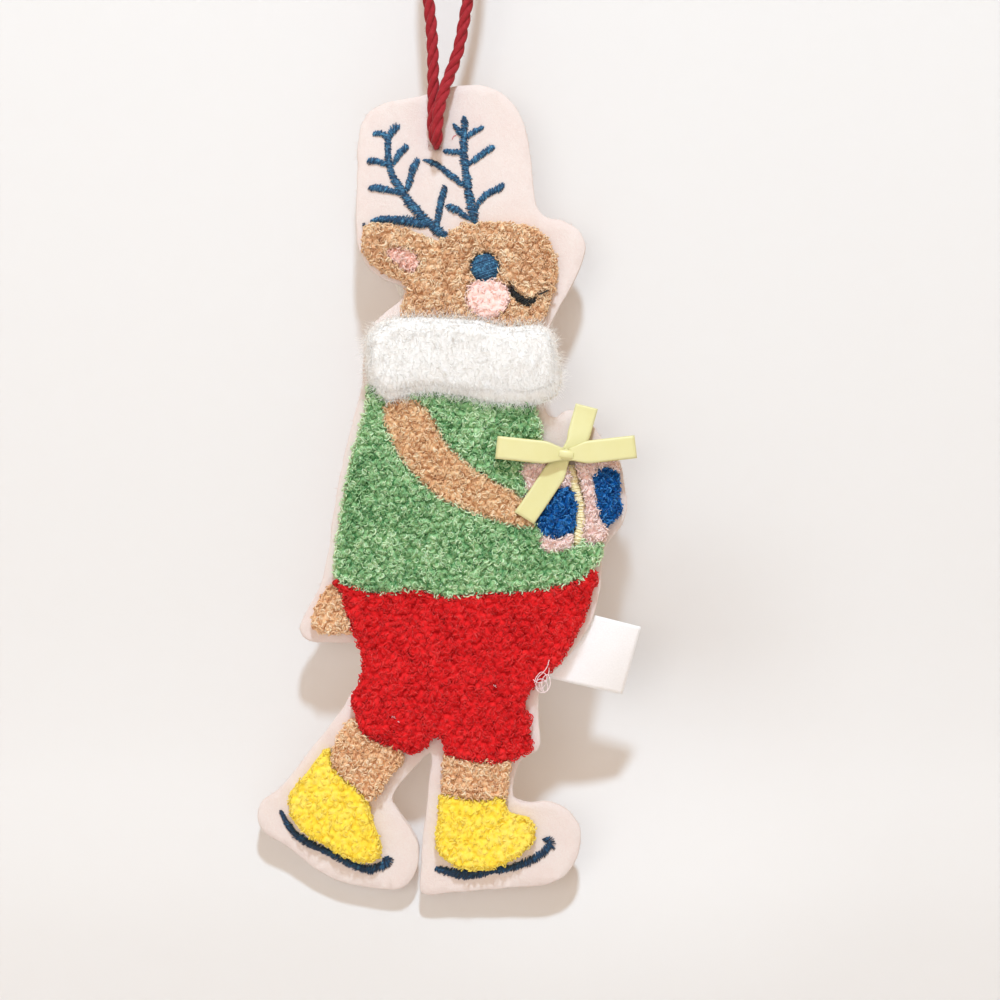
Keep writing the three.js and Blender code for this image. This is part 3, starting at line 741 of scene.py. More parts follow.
def rim_curls(node, outline, rng, width, pitch, reach):
    """Curls that lie round one edge of a pad, one above the other, and reach out over what is beside it."""
    low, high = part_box(node)
    rim = smooth_line(outline, pitch, closed=True)
    outward = directions(rim)
    rows = np.tile(RIM_ROWS, len(rim))
    bulge = rng.uniform(*RIM_BULGES, (len(rim), 1)) * MM
    count = len(rows)
    which = np.arange(count) // len(RIM_ROWS)
    depth = high.y - (high.y - low.y) * np.clip(rows * rng.uniform(*ROW_WAVER, count), 0, 1)
    out_by = reach - width / 2 + bulge[which] + rng.uniform(-RIM_SHIFT, RIM_SHIFT, (count, 1)) * MM
    place = rim[which] + outward[which] * out_by
    place = place + quarter_turn(outward)[which] * rng.uniform(-RIM_SWAY, RIM_SWAY, (count, 1)) * pitch
    out = at_depth(outward[which], RIM_FACING)
    axes = unit(out + RIM_STRAY * any_way(rng, count))
    return curls(at_depth(place, depth), axes, rng, width * rng.uniform(*RIM_WIDTHS, count)), unit(out)


def patch_curls(patches, level, rng, width):
    """Curls round a few places of their own."""
    places = np.repeat(spot(patches), PATCH_CURLS, axis=0)
    places = places + rng.normal(0, PATCH_SPREAD, places.shape)
    count = len(places)
    centres = at_depth(places, level + rng.uniform(*PATCH_LEVELS, count) * MM)
    axes = unit(FRONT + CURL_STRAY * any_way(rng, count))
    return curls(centres, axes, rng, width * rng.uniform(*PATCH_WIDTHS, count)), np.tile(FRONT, (count, 1))


def add_hairs(bundle, paths, outward, rng):
    """Fine hairs that stand off from curls, one from each, painted paler as a sheen of light on the fuzz."""
    count = len(paths)
    step = rng.integers(1, paths.shape[1] - 1, count)
    start = paths[np.arange(count), step]
    away = unit(start - paths.mean(axis=1))
    out = unit(away + HAIR_LIFT * outward + HAIR_STRAY * rng.normal(size=start.shape))
    length = HAIR_REACH * rng.uniform(*HAIR_LENGTHS, (count, 1, 1))
    radii = HAIR_RADIUS * np.array([HAIR_TAPER])
    bundle.add_strands(start, out, 0 * out, length, radii, rng.uniform(*HAIR_SHEEN_TONES, count))


def add_pile(name, node, material, slot, seed, pitch=1.6, radius=0.2, width=1.35, rim_reach=0.4,
             rim_highlight=0.0, dome_tone=0.42, spread=0.2, valley_shade=0.5, low_tone=0.35, high_tone=0.85, relief=1.0,
             sink=0.0, curls_each=CURLS_EACH, hair_share=1.0, patches=()):
    """A field of looped yarn over a CAD pad, with painted shade between its tufts and, if asked, a painted
    highlight on the curls round its edges.
    """
    rng = np.random.default_rng(seed)
    low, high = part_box(node)
    places = scattered((low.x, low.z), (high.x, high.z), pitch * MM, rng)
    tufts, normals, _ = on_front(node, places)
    reaches = pitch * MM * rng.uniform(*TUFT_REACHES, len(tufts))
    tones = rng.uniform(-spread, spread, len(tufts))
    bundle = Bundle()
    bundle.add_bed(node, BED_SHARE, -BED_GROWTH, dome_tone)
    points, faces_out, places, cells = front_grid(node, DOME_GRID)
    heights, owners = domes(places, tufts[:, [0, 2]], reaches)
    corners = points + faces_out * relief * (DOME_HEIGHT * heights - DOME_SINK)[:, None]
    # Painted shade: each dome's tone drops where it lies low between tufts and rises a little at its top.
    bundle.add(corners, [cells], dome_tone + tones[owners] + valley_shade * (heights - UNSHADED_HEIGHT))
    found = []

    def keep(paths, facing, shade):
        found.append((paths, facing, rng.uniform(low_tone, high_tone, len(paths)) + shade))

    owner = np.repeat(np.arange(len(tufts)), curls_each)
    keep(*tuft_curls(tufts, normals, owner, rng, pitch * MM, width * MM, relief, sink), tones[owner])
    for i, outline in enumerate(back_outlines(node)):
        narrow = np.ptp(outline[:, 1]) < SLOT_HEIGHT
        reach = (rim_reach if i == 0 or narrow else HOLE_REACH) * MM
        # Painted highlight: the curls round a pad's edges may be given lighter tones than the rest.
        keep(*rim_curls(node, outline, rng, width * MM, RIM_PITCH_SHARE * pitch * MM, reach), rim_highlight)
    if patches:
        keep(*patch_curls(patches, low.y, rng, width * MM), 0)
    paths, facing, shades = (np.concatenate(parts) for parts in zip(*found))
    radii = radius * MM * rng.uniform(*YARN_THICKNESSES, (len(paths), 1))
    bundle.add_tubes(paths, radii, CURL_SIDES, shades)
    hairy = rng.uniform(size=len(paths)) < hair_share
    add_hairs(bundle, paths[hairy], facing[hairy], rng)
    carried(bundle.build(name, material), slot, node)


SOFT = {"dome_tone": 0.55, "spread": 0.12, "valley_shade": 0.3, "low_tone": 0.5, "high_tone": 0.85}
SOFTEST = {
    "dome_tone": 0.6, "spread": 0.1, "valley_shade": 0.2, "low_tone": 0.5, "high_tone": 0.8, "relief": 0.6,
    "sink": 0.3, "curls_each": 2, "hair_share": 0.25,
}
NOSTRIL_SHARES = [(761, 738), (766, 739), (772, 741), (778, 743), (784, 745), (790, 747)]
HEAD = {"rim_reach": 0.15, "patches": NOSTRIL_SHARES}
BOOT = {**SOFTEST, "pitch": 1.8, "rim_reach": 0.2}
SWEATER = {"rim_reach": 0.8, "rim_highlight": 0.42}
LEG = {"rim_reach": 0.2}
TROUSERS = {
    "pitch": 1.8, "width": 1.5, "spread": 0.14, "valley_shade": 0.24, "low_tone": 0.32, "high_tone": 0.62,
    "relief": 0.85, "sink": 0.15, "hair_share": 0.3,
}
SOFT_YARNS = ("yellow", "cheek_pink")
SOFT_SCATTER = 0.2
# Each field of pile has a name, its node, its yarn and its options.
PILES = [
    ("head_yarn", "head_pile", "tan", HEAD),
    ("inner_ear_yarn", "inner_ear_pile", "ear_pink", SOFT),
    ("cheek_yarn", "cheek_pile", "cheek_pink", SOFTEST),
    ("arm_yarn", "arm_pile", "arm_tan", {}),
    ("sweater_yarn", "sweater_pile", "green", SWEATER),
    ("chest_yarn", "chest_pile", "green", SWEATER),
    ("trouser_yarn", "trouser_pile", "red", TROUSERS),
    ("tail_yarn", "tail_pile", "leg_tan", LEG),
    ("left_leg_yarn", "left_leg_pile", "leg_tan", LEG),
    ("right_leg_yarn", "right_leg_pile", "leg_tan", LEG),
    ("left_boot_yarn", "left_boot_pile", "yellow", BOOT),
    ("right_boot_yarn", "right_boot_pile", "yellow", BOOT),
    ("gift_yarn_upper", "gift_pink_upper", "gift_pink", SOFT),
    ("gift_yarn_lower", "gift_pink_lower", "gift_pink", SOFT),
    ("gift_yarn_right", "gift_pink_right", "gift_pink", SOFT),
    ("gift_square_left", "gift_blue_left", "blue", {}),
    ("gift_square_right", "gift_blue_right", "blue", {}),
]
# Each yarn has a material slot and its dark, middle and light tones.
YARNS = {
    "tan": ("tan_pile", (194, 141, 102), (234, 191, 151), (253, 229, 197)),
    "leg_tan": ("tan_pile", (204, 146, 106), (243, 196, 152), (255, 230, 198)),
    "arm_tan": ("arm_pile", (194, 141, 101), (236, 192, 148), (253, 229, 194)),
    "ear_pink": ("pink_pile", (230, 160, 145), (247, 195, 180), (254, 222, 211)),
    "cheek_pink": ("pink_pile", (253, 198, 190), (255, 216, 208), (255, 228, 222)),
    "green": ("green_pile", (74, 130, 80), (146, 193, 137), (214, 242, 198)),
    "red": ("red_pile", (182, 12, 18), (225, 34, 38), (238, 66, 66)),
    "yellow": ("yellow_pile", (246, 199, 38), (250, 219, 72), (253, 232, 124)),
    "gift_pink": ("pink_pile", (230, 184, 178), (248, 214, 207), (255, 236, 231)),
    "blue": ("blue_pile", (4, 54, 114), (10, 88, 160), (58, 138, 208)),
}


def add_piles():
    materials = {}
    for key, (_, *tones) in YARNS.items():
        scatter = SOFT_SCATTER if key in SOFT_YARNS else YARN_SCATTER
        materials[key] = yarn_material(key + "_yarn", *tones, scatter)
    for seed, (name, node, key, options) in enumerate(PILES):
        add_pile(name, node, materials[key], YARNS[key][0], seed + 1, **options)


# Felt. The profile of its edge is how far in and how deep each row lies, in millimetres and as a share.
RIM_STEP = 1.1 * MM
RIM_WAVER = 0.11 * MM
RIM_MARGIN = 0.8 * MM
FELT_GRID = 3.0 * MM
FELT_JITTER = 0.15
FELT_WAVES = [(45, 3.1, 0.16), (140, 7.7, 0.05)]
FELT_SEED = 41
HOLE_SHARES = (484, 923)
HOLE_RADIUS = 1.0 * MM
HOLE_MARGIN = 0.6 * MM
HOLE_CORNERS = 20
RIM_PROFILE = [(0.3, 0.0), (0.1, 0.12), (0.0, 0.35), (0.0, 0.65), (0.1, 0.88), (0.3, 1.0)]
MERGE_DISTANCE = 1e-7
FUZZ_RADIUS = 0.035 * MM
FUZZ_ROOT = 0.15 * MM
FUZZ_LENGTHS = (0.4, 1.0)
FUZZ_STEPS = 4
FUZZ_TIP = 0.4
FUZZ_TONE = 0.6
FUZZ_DEPTHS = (0.1, 0.9)
FUZZ_LEAN = 0.5
FUZZ_STRAY = 0.6
FUZZ_BEND = 0.4


def rumple(places):
    """How far the felt stands back or forward at places in x and z, in metres."""
    return np.array([lumps(x, z, FELT_WAVES) * MM for x, z in places])


def nearest(points, places):
    """Which of the points lies nearest to each place."""
    return np.array([int(np.linalg.norm(points - place, axis=1).argmin()) for place in places])


def felt_rim(node, rng):
    """The slightly uneven edge of a felt layer, and the directions out of it."""
    rim = smooth_line(back_outlines(node)[0], RIM_STEP, closed=True)
    count = len(rim)
    outward = directions(rim)
    waver = np.tile(rng.normal(0, RIM_WAVER, count), 3)
    waver = np.convolve(waver, np.ones(3) / 3, "same")[count:2 * count]
    return rim + outward * waver[:, None], outward


def felt_face(rim, edge, hole, rng):
    """The face of a felt layer inside its edge: points in x and z, triangles, and the ring of its hole."""
    places = scattered(rim.min(0), rim.max(0), FELT_GRID, rng, FELT_JITTER)
    places = places[inside(places, rim)]
    gaps = np.linalg.norm(places[:, None] - rim[None], axis=2).min(1)
    places = places[gaps > RIM_MARGIN]
    ring = np.zeros((0, 2))
    if hole is not None:
        turns = 2 * math.pi * np.arange(HOLE_CORNERS) / HOLE_CORNERS
        ring = hole + HOLE_RADIUS * np.stack([np.cos(turns), np.sin(turns)], 1)
        places = places[np.linalg.norm(places - hole, axis=1) > HOLE_RADIUS + HOLE_MARGIN]
    points = np.concatenate([edge, ring, places])
    borders = [
        (first + i, first + (i + 1) % len(loop))
        for first, loop in ((0, edge), (len(edge), ring)) for i in range(len(loop))
    ]
    made = delaunay_2d_cdt([Vector(p) for p in points], borders, [list(range(len(edge)))], 1, MERGE_DISTANCE)
    points = np.array([list(p) for p in made[0]])
    faces = np.array(made[2])
    if hole is not None:
        faces = faces[np.linalg.norm(points[faces].mean(1) - hole, axis=1) > HOLE_RADIUS]
    a, b, c = (points[faces[:, i]] for i in range(3))
    turned = (b[:, 0] - a[:, 0]) * (c[:, 1] - a[:, 1]) - (b[:, 1] - a[:, 1]) * (c[:, 0] - a[:, 0]) < 0
    faces[turned] = faces[turned][:, ::-1]
    return points, faces, ring


def add_felt(name, node, material, slot, seed, hole):
    """A felt layer cut to its CAD outline, with rounded, slightly uneven edges."""
    rng = np.random.default_rng(seed)
    low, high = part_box(node)
    front = low.y
    thickness = high.y - low.y
    rim, outward = felt_rim(node, rng)
    edge = rim - outward * RIM_PROFILE[0][0] * MM
    points, faces, ring = felt_face(rim, edge, hole, rng)
    level = front + rumple(points)
    corners = [at_depth(points, level), at_depth(points, level + thickness)]
    rows = [nearest(points, edge)]
    rim_level = front + rumple(rim)
    for inset, share in RIM_PROFILE[1:-1]:
        rows.append(sum(map(len, corners)) + np.arange(len(rim)))
        corners.append(at_depth(rim - outward * inset * MM, rim_level + share * thickness))
    rows.append(rows[0] + len(points))
    walls = [ring_walls(lower, upper) for lower, upper in zip(rows, rows[1:])]
    if hole is not None:
        inner = nearest(points, ring)
        walls.append(ring_walls(inner, inner + len(points)))
    bundle = Bundle()
    bundle.add(np.concatenate(corners), [faces, faces[:, ::-1] + len(points), np.concatenate(walls)], 0.5)
    add_fuzz(bundle, rim, outward, front, thickness, rng)
    layer = carried(bundle.build(name, material), slot, node)


def add_fuzz(bundle, rim, outward, front, thickness, rng):
    """Short loose fibres round a felt edge."""
    count = 2 * len(rim)
    which = rng.integers(0, len(rim), count)
    start = at_depth(rim[which], front + thickness * rng.uniform(*FUZZ_DEPTHS, count))
    out = at_depth(outward[which], rng.normal(0, FUZZ_LEAN, count))
    out = unit(out + rng.normal(0, FUZZ_STRAY, (count, 3)))
    bend = rng.normal(0, FUZZ_BEND, (count, 3))
    length = rng.uniform(*FUZZ_LENGTHS, (count, 1, 1)) * MM
    start = start - at_depth(outward[which], 0) * FUZZ_ROOT
    radii = FUZZ_RADIUS * np.linspace(1, FUZZ_TIP, FUZZ_STEPS)[None]
    bundle.add_strands(start, out, bend, length, radii, FUZZ_TONE)


def add_felts():
    felt = felt_material()
    for seed, (name, node, material, slot, hole) in enumerate((
        ("front_felt_layer", "front_felt", felt, "felt", spot(HOLE_SHARES)[0]),
        ("back_felt_layer", "back_felt", felt, "felt", None),
        ("backing_sheet", "embroidery_backing", backing_material(), "backing", None),
    )):
        add_felt(name, node, material, slot, FELT_SEED + seed, hole)


# Satin stitches. A line's width, in millimetres, follows even steps of its width shares.
THREAD_PITCH = 0.2 * MM
THREAD_RADIUS = 0.16 * MM
THREAD_STEPS = 7
THREAD_ROOT = 0.1 * MM
THREAD_SIDES = 4
THREAD_END_SHARE = 0.6
BED_DEPTH_SHARE = 0.9
ROUNDED_SHARE = 0.6
STEM_WIDTH = 2.2
BRANCH_WIDTH = 1.75
BLADE_WIDTH = 2.1
MOUTH_WIDTH = 2.1
STRIPE_WIDTH = 2.9
ANTLER_HEIGHT = 0.85 * MM
BLADE_HEIGHT = 0.8 * MM
MOUTH_HEIGHT = 4.5 * MM
STRIPE_HEIGHT = 2.7 * MM
CORNER_RADIUS = 0.24 * MM
CORNER_RISE = 0.2 * MM
LOOSE_SHARE = 0.1
LOOSE_LENGTH = 1.5
SLANT_WAVER = 0.4
ARCH_HEIGHTS = (0.9, 1.1)
THREAD_THICKNESSES = (0.8, 1.2)
WIDTH_WAVER = 0.1
WAVER_WINDOW = 7
TIP_SHARE = 0.05
BLADE_TONES = (0.0, 0.5)
LEFT_STEM_SHARES = (1.15, 1.1, 1.0, 0.9, 0.85, 0.8)
RIGHT_STEM_SHARES = (1.2, 1.05, 1.0, 0.95, 0.7)
BLUNT_SHARES = (0.7, 0.95, 1.1, 1.15)
THIN_SHARES = (0.9, 0.95, 0.85, 0.6)
POINTED_SHARES = (0.9, 1.1, 1.0, 0.5)
LEFT_BLADE_WIDTH_SHARES = (0.45, 0.8, 1.0, 0.95, 0.9, 1.0, 1.1, 1.3)
RIGHT_BLADE_WIDTH_SHARES = (0.9, 1.15, 1.3, 0.85, 0.8, 1.0, 1.1, 1.2)
NUB_WIDTH_SHARES = (0.6, 0.6)
STRIPE_WIDTH_SHARES = (0.9, 1.0, 1.1)
MOUTH_WIDTH_SHARES = (0.35, 0.75, 1.05, 1.1, 1.0, 0.75)
LEFT_ANTLER_SHARES = [
    [
        (507, 812), (476, 824), (443, 838), (416, 852), (394, 865), (377, 878), (364, 889), (357, 900),
        (353, 913), (353, 927), (351, 934), (336, 939), (314, 940),
    ],
    [(353, 931), (361, 940), (371, 945), (384, 947)],
    [(368, 901), (377, 910), (390, 918), (408, 923)],
    [(361, 899), (339, 903), (320, 905), (299, 906)],
    [(392, 866), (368, 868), (339, 871), (303, 873)],
    [(403, 869), (411, 880), (419, 893), (428, 902), (438, 906)],
    [(485, 822), (488, 835), (493, 848), (500, 862), (509, 874)],
]
LOWEST_BRANCH_SHARES = [(462, 826), (427, 829), (392, 832), (362, 833), (342, 834), (323, 833), (307, 832)]
RIGHT_ANTLER_SHARES = [
    [
        (589, 828), (582, 840), (577, 853), (572, 866), (567, 880), (563, 893), (560, 906), (558, 920),
        (558, 933), (560, 947), (560, 960),
    ],
    [(566, 900), (596, 910), (617, 917), (640, 923)],
    [(588, 844), (599, 854), (614, 862), (636, 868), (667, 875)],
    [(576, 833), (544, 843), (514, 851)],
]
THIN_BRANCH_SHARES = [
    [(555, 936), (545, 942), (531, 951)],
    [(566, 935), (588, 942), (611, 947)],
    [(555, 916), (526, 917), (503, 918)],
    [(555, 875), (539, 882), (520, 889), (494, 898), (471, 904), (450, 907)],
]
MOUTH_SHARES = [(687, 749), (696, 741), (709, 735), (725, 731), (741, 729), (756, 733)]
MOUTH_CORNER_SHARES = [(758, 739), (771, 741), (784, 744)]
LEFT_BLADE_SHARES = [
    (63, 105), (84, 86), (110, 73), (151, 62), (192, 53), (233, 43), (274, 35), (309, 33), (338, 37),
    (355, 43), (349, 48),
]
RIGHT_BLADE_SHARES = [
    (482, 34), (508, 31), (543, 27), (578, 26), (625, 30), (672, 33), (719, 39), (754, 47), (783, 58),
    (793, 66), (778, 71),
]
NUB_SHARES = [[(558, 30), (552, 41)], [(657, 33), (655, 40)]]
STRIPE_SHARES = [(845, 530), (856, 507), (865, 492), (871, 478), (874, 463), (870, 446), (864, 432)]
# Each thread has a material slot, a name and its dark, middle and light tones; the light tone paints the
# glints.
THREADS = [
    ("navy_satin", "navy_thread", (4, 30, 54), (12, 70, 110), (84, 154, 194)),
    ("black_satin", "black_thread", (4, 8, 8), (12, 18, 20), (44, 54, 56)),
    ("cream_satin", "cream_thread", (238, 220, 150), (248, 236, 186), (255, 250, 226)),
]
STITCH_SEED = 61
# Each piece has a name, its node, its thread's slot, its height, its strokes and its options. A stroke has
# its lines, their width and the shares of that width along them.
STITCHES = [
    ("left_antler_satin", "antler_left", "navy_satin", ANTLER_HEIGHT, [
        (LEFT_ANTLER_SHARES[:1], STEM_WIDTH, LEFT_STEM_SHARES),
        (LEFT_ANTLER_SHARES[1:], BRANCH_WIDTH, BLUNT_SHARES),
        ([LOWEST_BRANCH_SHARES], STEM_WIDTH, POINTED_SHARES),
    ], {}),
    ("right_antler_satin", "antler_right", "navy_satin", ANTLER_HEIGHT, [
        (RIGHT_ANTLER_SHARES[:1], STEM_WIDTH, RIGHT_STEM_SHARES),
        (RIGHT_ANTLER_SHARES[1:], BRANCH_WIDTH, BLUNT_SHARES),
        (THIN_BRANCH_SHARES, BRANCH_WIDTH, THIN_SHARES),
    ], {}),
    ("left_blade_satin", "left_blade", "navy_satin", BLADE_HEIGHT, [
        ([LEFT_BLADE_SHARES], BLADE_WIDTH, LEFT_BLADE_WIDTH_SHARES),
    ], {"tones": BLADE_TONES}),
    ("right_blade_satin", "right_blade", "navy_satin", BLADE_HEIGHT, [
        ([RIGHT_BLADE_SHARES], BLADE_WIDTH, RIGHT_BLADE_WIDTH_SHARES),
        (NUB_SHARES, BLADE_WIDTH, NUB_WIDTH_SHARES),
    ], {"tones": BLADE_TONES}),
    ("mouth_satin", "mouth_stitch", "black_satin", MOUTH_HEIGHT, [
        ([MOUTH_SHARES], MOUTH_WIDTH, MOUTH_WIDTH_SHARES),
    ], {"corner": [MOUTH_CORNER_SHARES], "crown": 5}),
    ("gift_stripe_satin", "gift_stripe", "cream_satin", STRIPE_HEIGHT, [
        ([STRIPE_SHARES], STRIPE_WIDTH, STRIPE_WIDTH_SHARES),
    ], {"under": True, "tones": (0.5, 0.9), "slant": 0.15, "crown": 6}),
]


def add_satin(bundle, line, widths, height, rng, slant=0.45, ragged=0.2, tones=(0.3, 0.8), crown=2):
    """Threads side by side across a line, each arched over it from edge to edge. A few are longer."""
    count = len(line)
    along = unit(np.gradient(line, axis=0))
    reach = np.linspace(-1, 1, THREAD_STEPS)

    def ends():
        """How far each thread reaches to one side."""
        uneven = rng.uniform(-ragged, ragged, count)
        loose = rng.uniform(size=count) < LOOSE_SHARE
        return (1 + uneven + LOOSE_LENGTH * ragged * loose)[:, None]

    left = ends()
    right = ends()
    spread = np.where(reach[None] < 0, left, right) * reach[None]
    half = (widths / 2)[:, None] * spread
    lean = slant * (1 + SLANT_WAVER * rng.normal(size=count))
    aside = quarter_turn(along)[:, None] * half[..., None]
    centre = line[:, None] + aside + along[:, None] * (half * lean[:, None])[..., None]
    arch = (1 - np.abs(reach) ** crown)[None] ** 0.5 * (widths / widths.max())[:, None] ** 0.5
    level = FELT_FRONT + THREAD_ROOT - height * arch * rng.uniform(*ARCH_HEIGHTS, (count, 1))
    radii = THREAD_RADIUS * rng.uniform(*THREAD_THICKNESSES, (count, 1)) * np.ones((1, THREAD_STEPS))
    radii[:, [0, -1]] *= THREAD_END_SHARE
    bundle.add_tubes(at_depth(centre, level), radii, THREAD_SIDES, rng.uniform(*tones, count))


def stroke(bundle, shares, width, width_shares, height, rng, **options):
    """One stitched line through a table of shares, with rounded ends."""
    line = smooth_line(spot(shares), THREAD_PITCH)
    run = np.arange(len(line)) * THREAD_PITCH
    taper = np.interp(run / run[-1], np.linspace(0, 1, len(width_shares)), width_shares)
    ends = np.minimum(run, run[-1] - run) / (width * MM / 2)
    rounded = np.sqrt(1 - (1 - np.clip(ends, TIP_SHARE, 1)) ** 2)
    wander = 2 * wandering(rng, len(line), WIDTH_WAVER, WAVER_WINDOW)
    widths = width * MM * taper * np.maximum(rounded, ROUNDED_SHARE) * (1 + wander)
    add_satin(bundle, line, widths, height, rng, **options)


def add_stitched(name, node, material, slot, seed, height, strokes, under=False, corner=(), **options):
    """The satin that stands for a CAD node, on a bed if under is set, with thin threads at its corner."""
    rng = np.random.default_rng(seed)
    bundle = Bundle()
    if under:
        bundle.add_bed(node, BED_DEPTH_SHARE, 0, 0.6)
    for lines, width, width_shares in strokes:
        for shares in lines:
            stroke(bundle, shares, width, width_shares, height, rng, **options)
    for shares in corner:
        line = smooth_line(spot(shares), THREAD_PITCH)
        bundle.add_tubes(at_depth(line, FELT_FRONT - height - CORNER_RISE)[None], CORNER_RADIUS, 5, 0.2)
    carried(bundle.build(name, material), slot, node)


def add_stitches():
    """The antlers, blades with two nubs, smile with a thin thread at its corner, stripe and eye."""
    threads = {
        slot: thread_material(name, dark, middle, light)
        for slot, name, dark, middle, light in THREADS
    }
    for seed, (name, node, slot, height, strokes, options) in enumerate(STITCHES):
        add_stitched(name, node, threads[slot], slot, STITCH_SEED + seed, height, strokes, **options)
    add_eye(threads["navy_satin"])


EYE_SHARES = (615.5, 772)
EYE_ALONG = 4.0 * MM
EYE_ACROSS = 3.7 * MM
EYE_HEIGHT = 4.3 * MM
EYE_TILT = 18
EYE_STEPS = 11
EYE_SEED = 70
EYE_ROUNDNESS = 5
EYE_RIM_SHARE = 0.55
EYE_WAVER = 0.14
EYE_INSET = 0.1 * MM
EYE_SHORTEST = 0.25
EYE_FRAYS = (0.9, 1.1)
EYE_TONES = (0.3, 0.75)
BRIGHT_THREADS = 2
BRIGHT_TONE = 1.1


def add_eye(material):
    """The eye: an oval patch of threads side by side, domed, with frayed ends and two bright threads."""
    rng = np.random.default_rng(EYE_SEED)
    centre = spot(EYE_SHARES)[0]
    tilt = math.radians(EYE_TILT)
    along = np.array([math.cos(tilt), math.sin(tilt)])
    offsets = np.arange(-EYE_ACROSS + THREAD_PITCH / 2, EYE_ACROSS, THREAD_PITCH)
    reach = np.linspace(-1, 1, EYE_STEPS)
    full = np.sqrt(1 - (offsets / EYE_ACROSS) ** 2)
    half = EYE_ALONG * np.maximum(full, EYE_SHORTEST) * rng.uniform(*EYE_FRAYS, len(offsets))
    half = half[:, None] * reach
    places = centre + quarter_turn(along) * offsets[:, None, None] + along * half[..., None]
    distance = np.hypot(offsets[:, None] / EYE_ACROSS, half / EYE_ALONG)
    domed = 1 - np.clip(distance, 0, 1) ** EYE_ROUNDNESS
    level = FELT_FRONT - EYE_HEIGHT * np.clip(domed, EYE_RIM_SHARE, 1) ** 0.5
    level = level - rng.uniform(0, EYE_WAVER, (len(offsets), 1)) * MM
    bundle = Bundle()
    bundle.add_bed("eye_stitch", BED_DEPTH_SHARE, EYE_INSET, 0.2)
    tones = rng.uniform(*EYE_TONES, len(places))
    tones[rng.choice(len(places), BRIGHT_THREADS, replace=False)] = BRIGHT_TONE
    bundle.add_tubes(at_depth(places, level), THREAD_RADIUS, THREAD_SIDES, tones)
    carried(bundle.build("eye_satin", material), "navy_satin", "eye_stitch")


# Loose threads that the photograph shows: a tangle at the seam by the label, a stray one and a few knots
TANGLE_SHARES = [
    [
        (748, 264), (754, 271), (768, 277), (780, 273), (778, 262), (765, 256), (753, 260), (758, 270),
        (771, 276), (783, 284), (788, 292),
    ],
    [(752, 258), (764, 252), (782, 254), (791, 263), (784, 274), (772, 270), (768, 260), (774, 253)],
    [(745, 268), (758, 264), (775, 265), (787, 276), (786, 289)],
    [(750, 262), (760, 268), (772, 268), (784, 260), (780, 253), (768, 254), (761, 262)],
]
STRAY_SHARES = [(527, 932), (531, 936), (538, 937)]
DOT_SHARES = (289, 827)
SPECK_SHARES = [(643, 260), (373, 221), (384, 215)]
LOOSE_SEED = 95
LOOSE_RADIUS = 0.11 * MM
LOOSE_LEVEL = 1.0 * MM
LOOSE_STEP = 0.35 * MM
STRAY_LEVEL = 0.12 * MM
STRAY_STEP = 0.3 * MM
PILE_LEVEL = 3.7 * MM
TANGLE_LIFT = 4.3
TANGLE_SWAY = 0.5
TANGLE_WANDER = 1.3
TANGLE_WINDOW = 9
TANGLE_TONES = (0.3, 0.8)
# How far a knot's curls spread, how wide and how thick they are, and how many
SPECK_KNOT = (0.2 * MM, 0.6 * MM, 0.6 * LOOSE_RADIUS, 3)
DOT_KNOT = (0.16 * MM, 0.65 * MM, 1.2 * LOOSE_RADIUS, 12)


def add_knot(bundle, place, level, rng, facing, stray, spread, width, radius, count):
    """A small knot of curled thread, whose curls stray from the direction that they face."""
    centres = at_depth(place, FELT_FRONT - level) + rng.normal(0, spread, (count, 3))
    axes = unit(facing + rng.normal(0, stray, (count, 3)))
    bundle.add_tubes(curls(centres, axes, rng, np.full(count, width)), radius, 4, 0.2)


def add_loose_threads():
    rng = np.random.default_rng(LOOSE_SEED)
    white = thread_material("white_thread", (212, 184, 190), (240, 220, 224), (252, 244, 246))
    bundle = Bundle()
    for table in TANGLE_SHARES:
        line = smooth_line(spot(table), LOOSE_STEP)
        sway = TANGLE_SWAY * wandering(rng, len(line), TANGLE_WANDER, TANGLE_WINDOW)
        level = FELT_FRONT - LOOSE_LEVEL * (TANGLE_LIFT + sway)
        bundle.add_tubes(at_depth(line, level)[None], LOOSE_RADIUS, 5, rng.uniform(*TANGLE_TONES))
    for place in spot(SPECK_SHARES):
        add_knot(bundle, place, PILE_LEVEL, rng, FRONT, 0.6, *SPECK_KNOT)
    carried(bundle.build("loose_threads", white), "label")
    navy = thread_material("navy_fluff", (4, 30, 58), (14, 70, 114), (104, 170, 216))
    bundle = Bundle()
    add_knot(bundle, spot(DOT_SHARES)[0], LOOSE_LEVEL / 2, rng, 0, 1, *DOT_KNOT)
    carried(bundle.build("navy_speck", navy), "navy_satin")
    red = thread_material("red_thread", (150, 30, 44), (200, 70, 84), (230, 130, 136))
    bundle = Bundle()
    line = smooth_line(spot(STRAY_SHARES), STRAY_STEP)
    bundle.add_tubes(at_depth(line, FELT_FRONT - STRAY_LEVEL)[None], LOOSE_RADIUS, 5, 0.6)
    carried(bundle.build("stray_fibre", red), "cord")


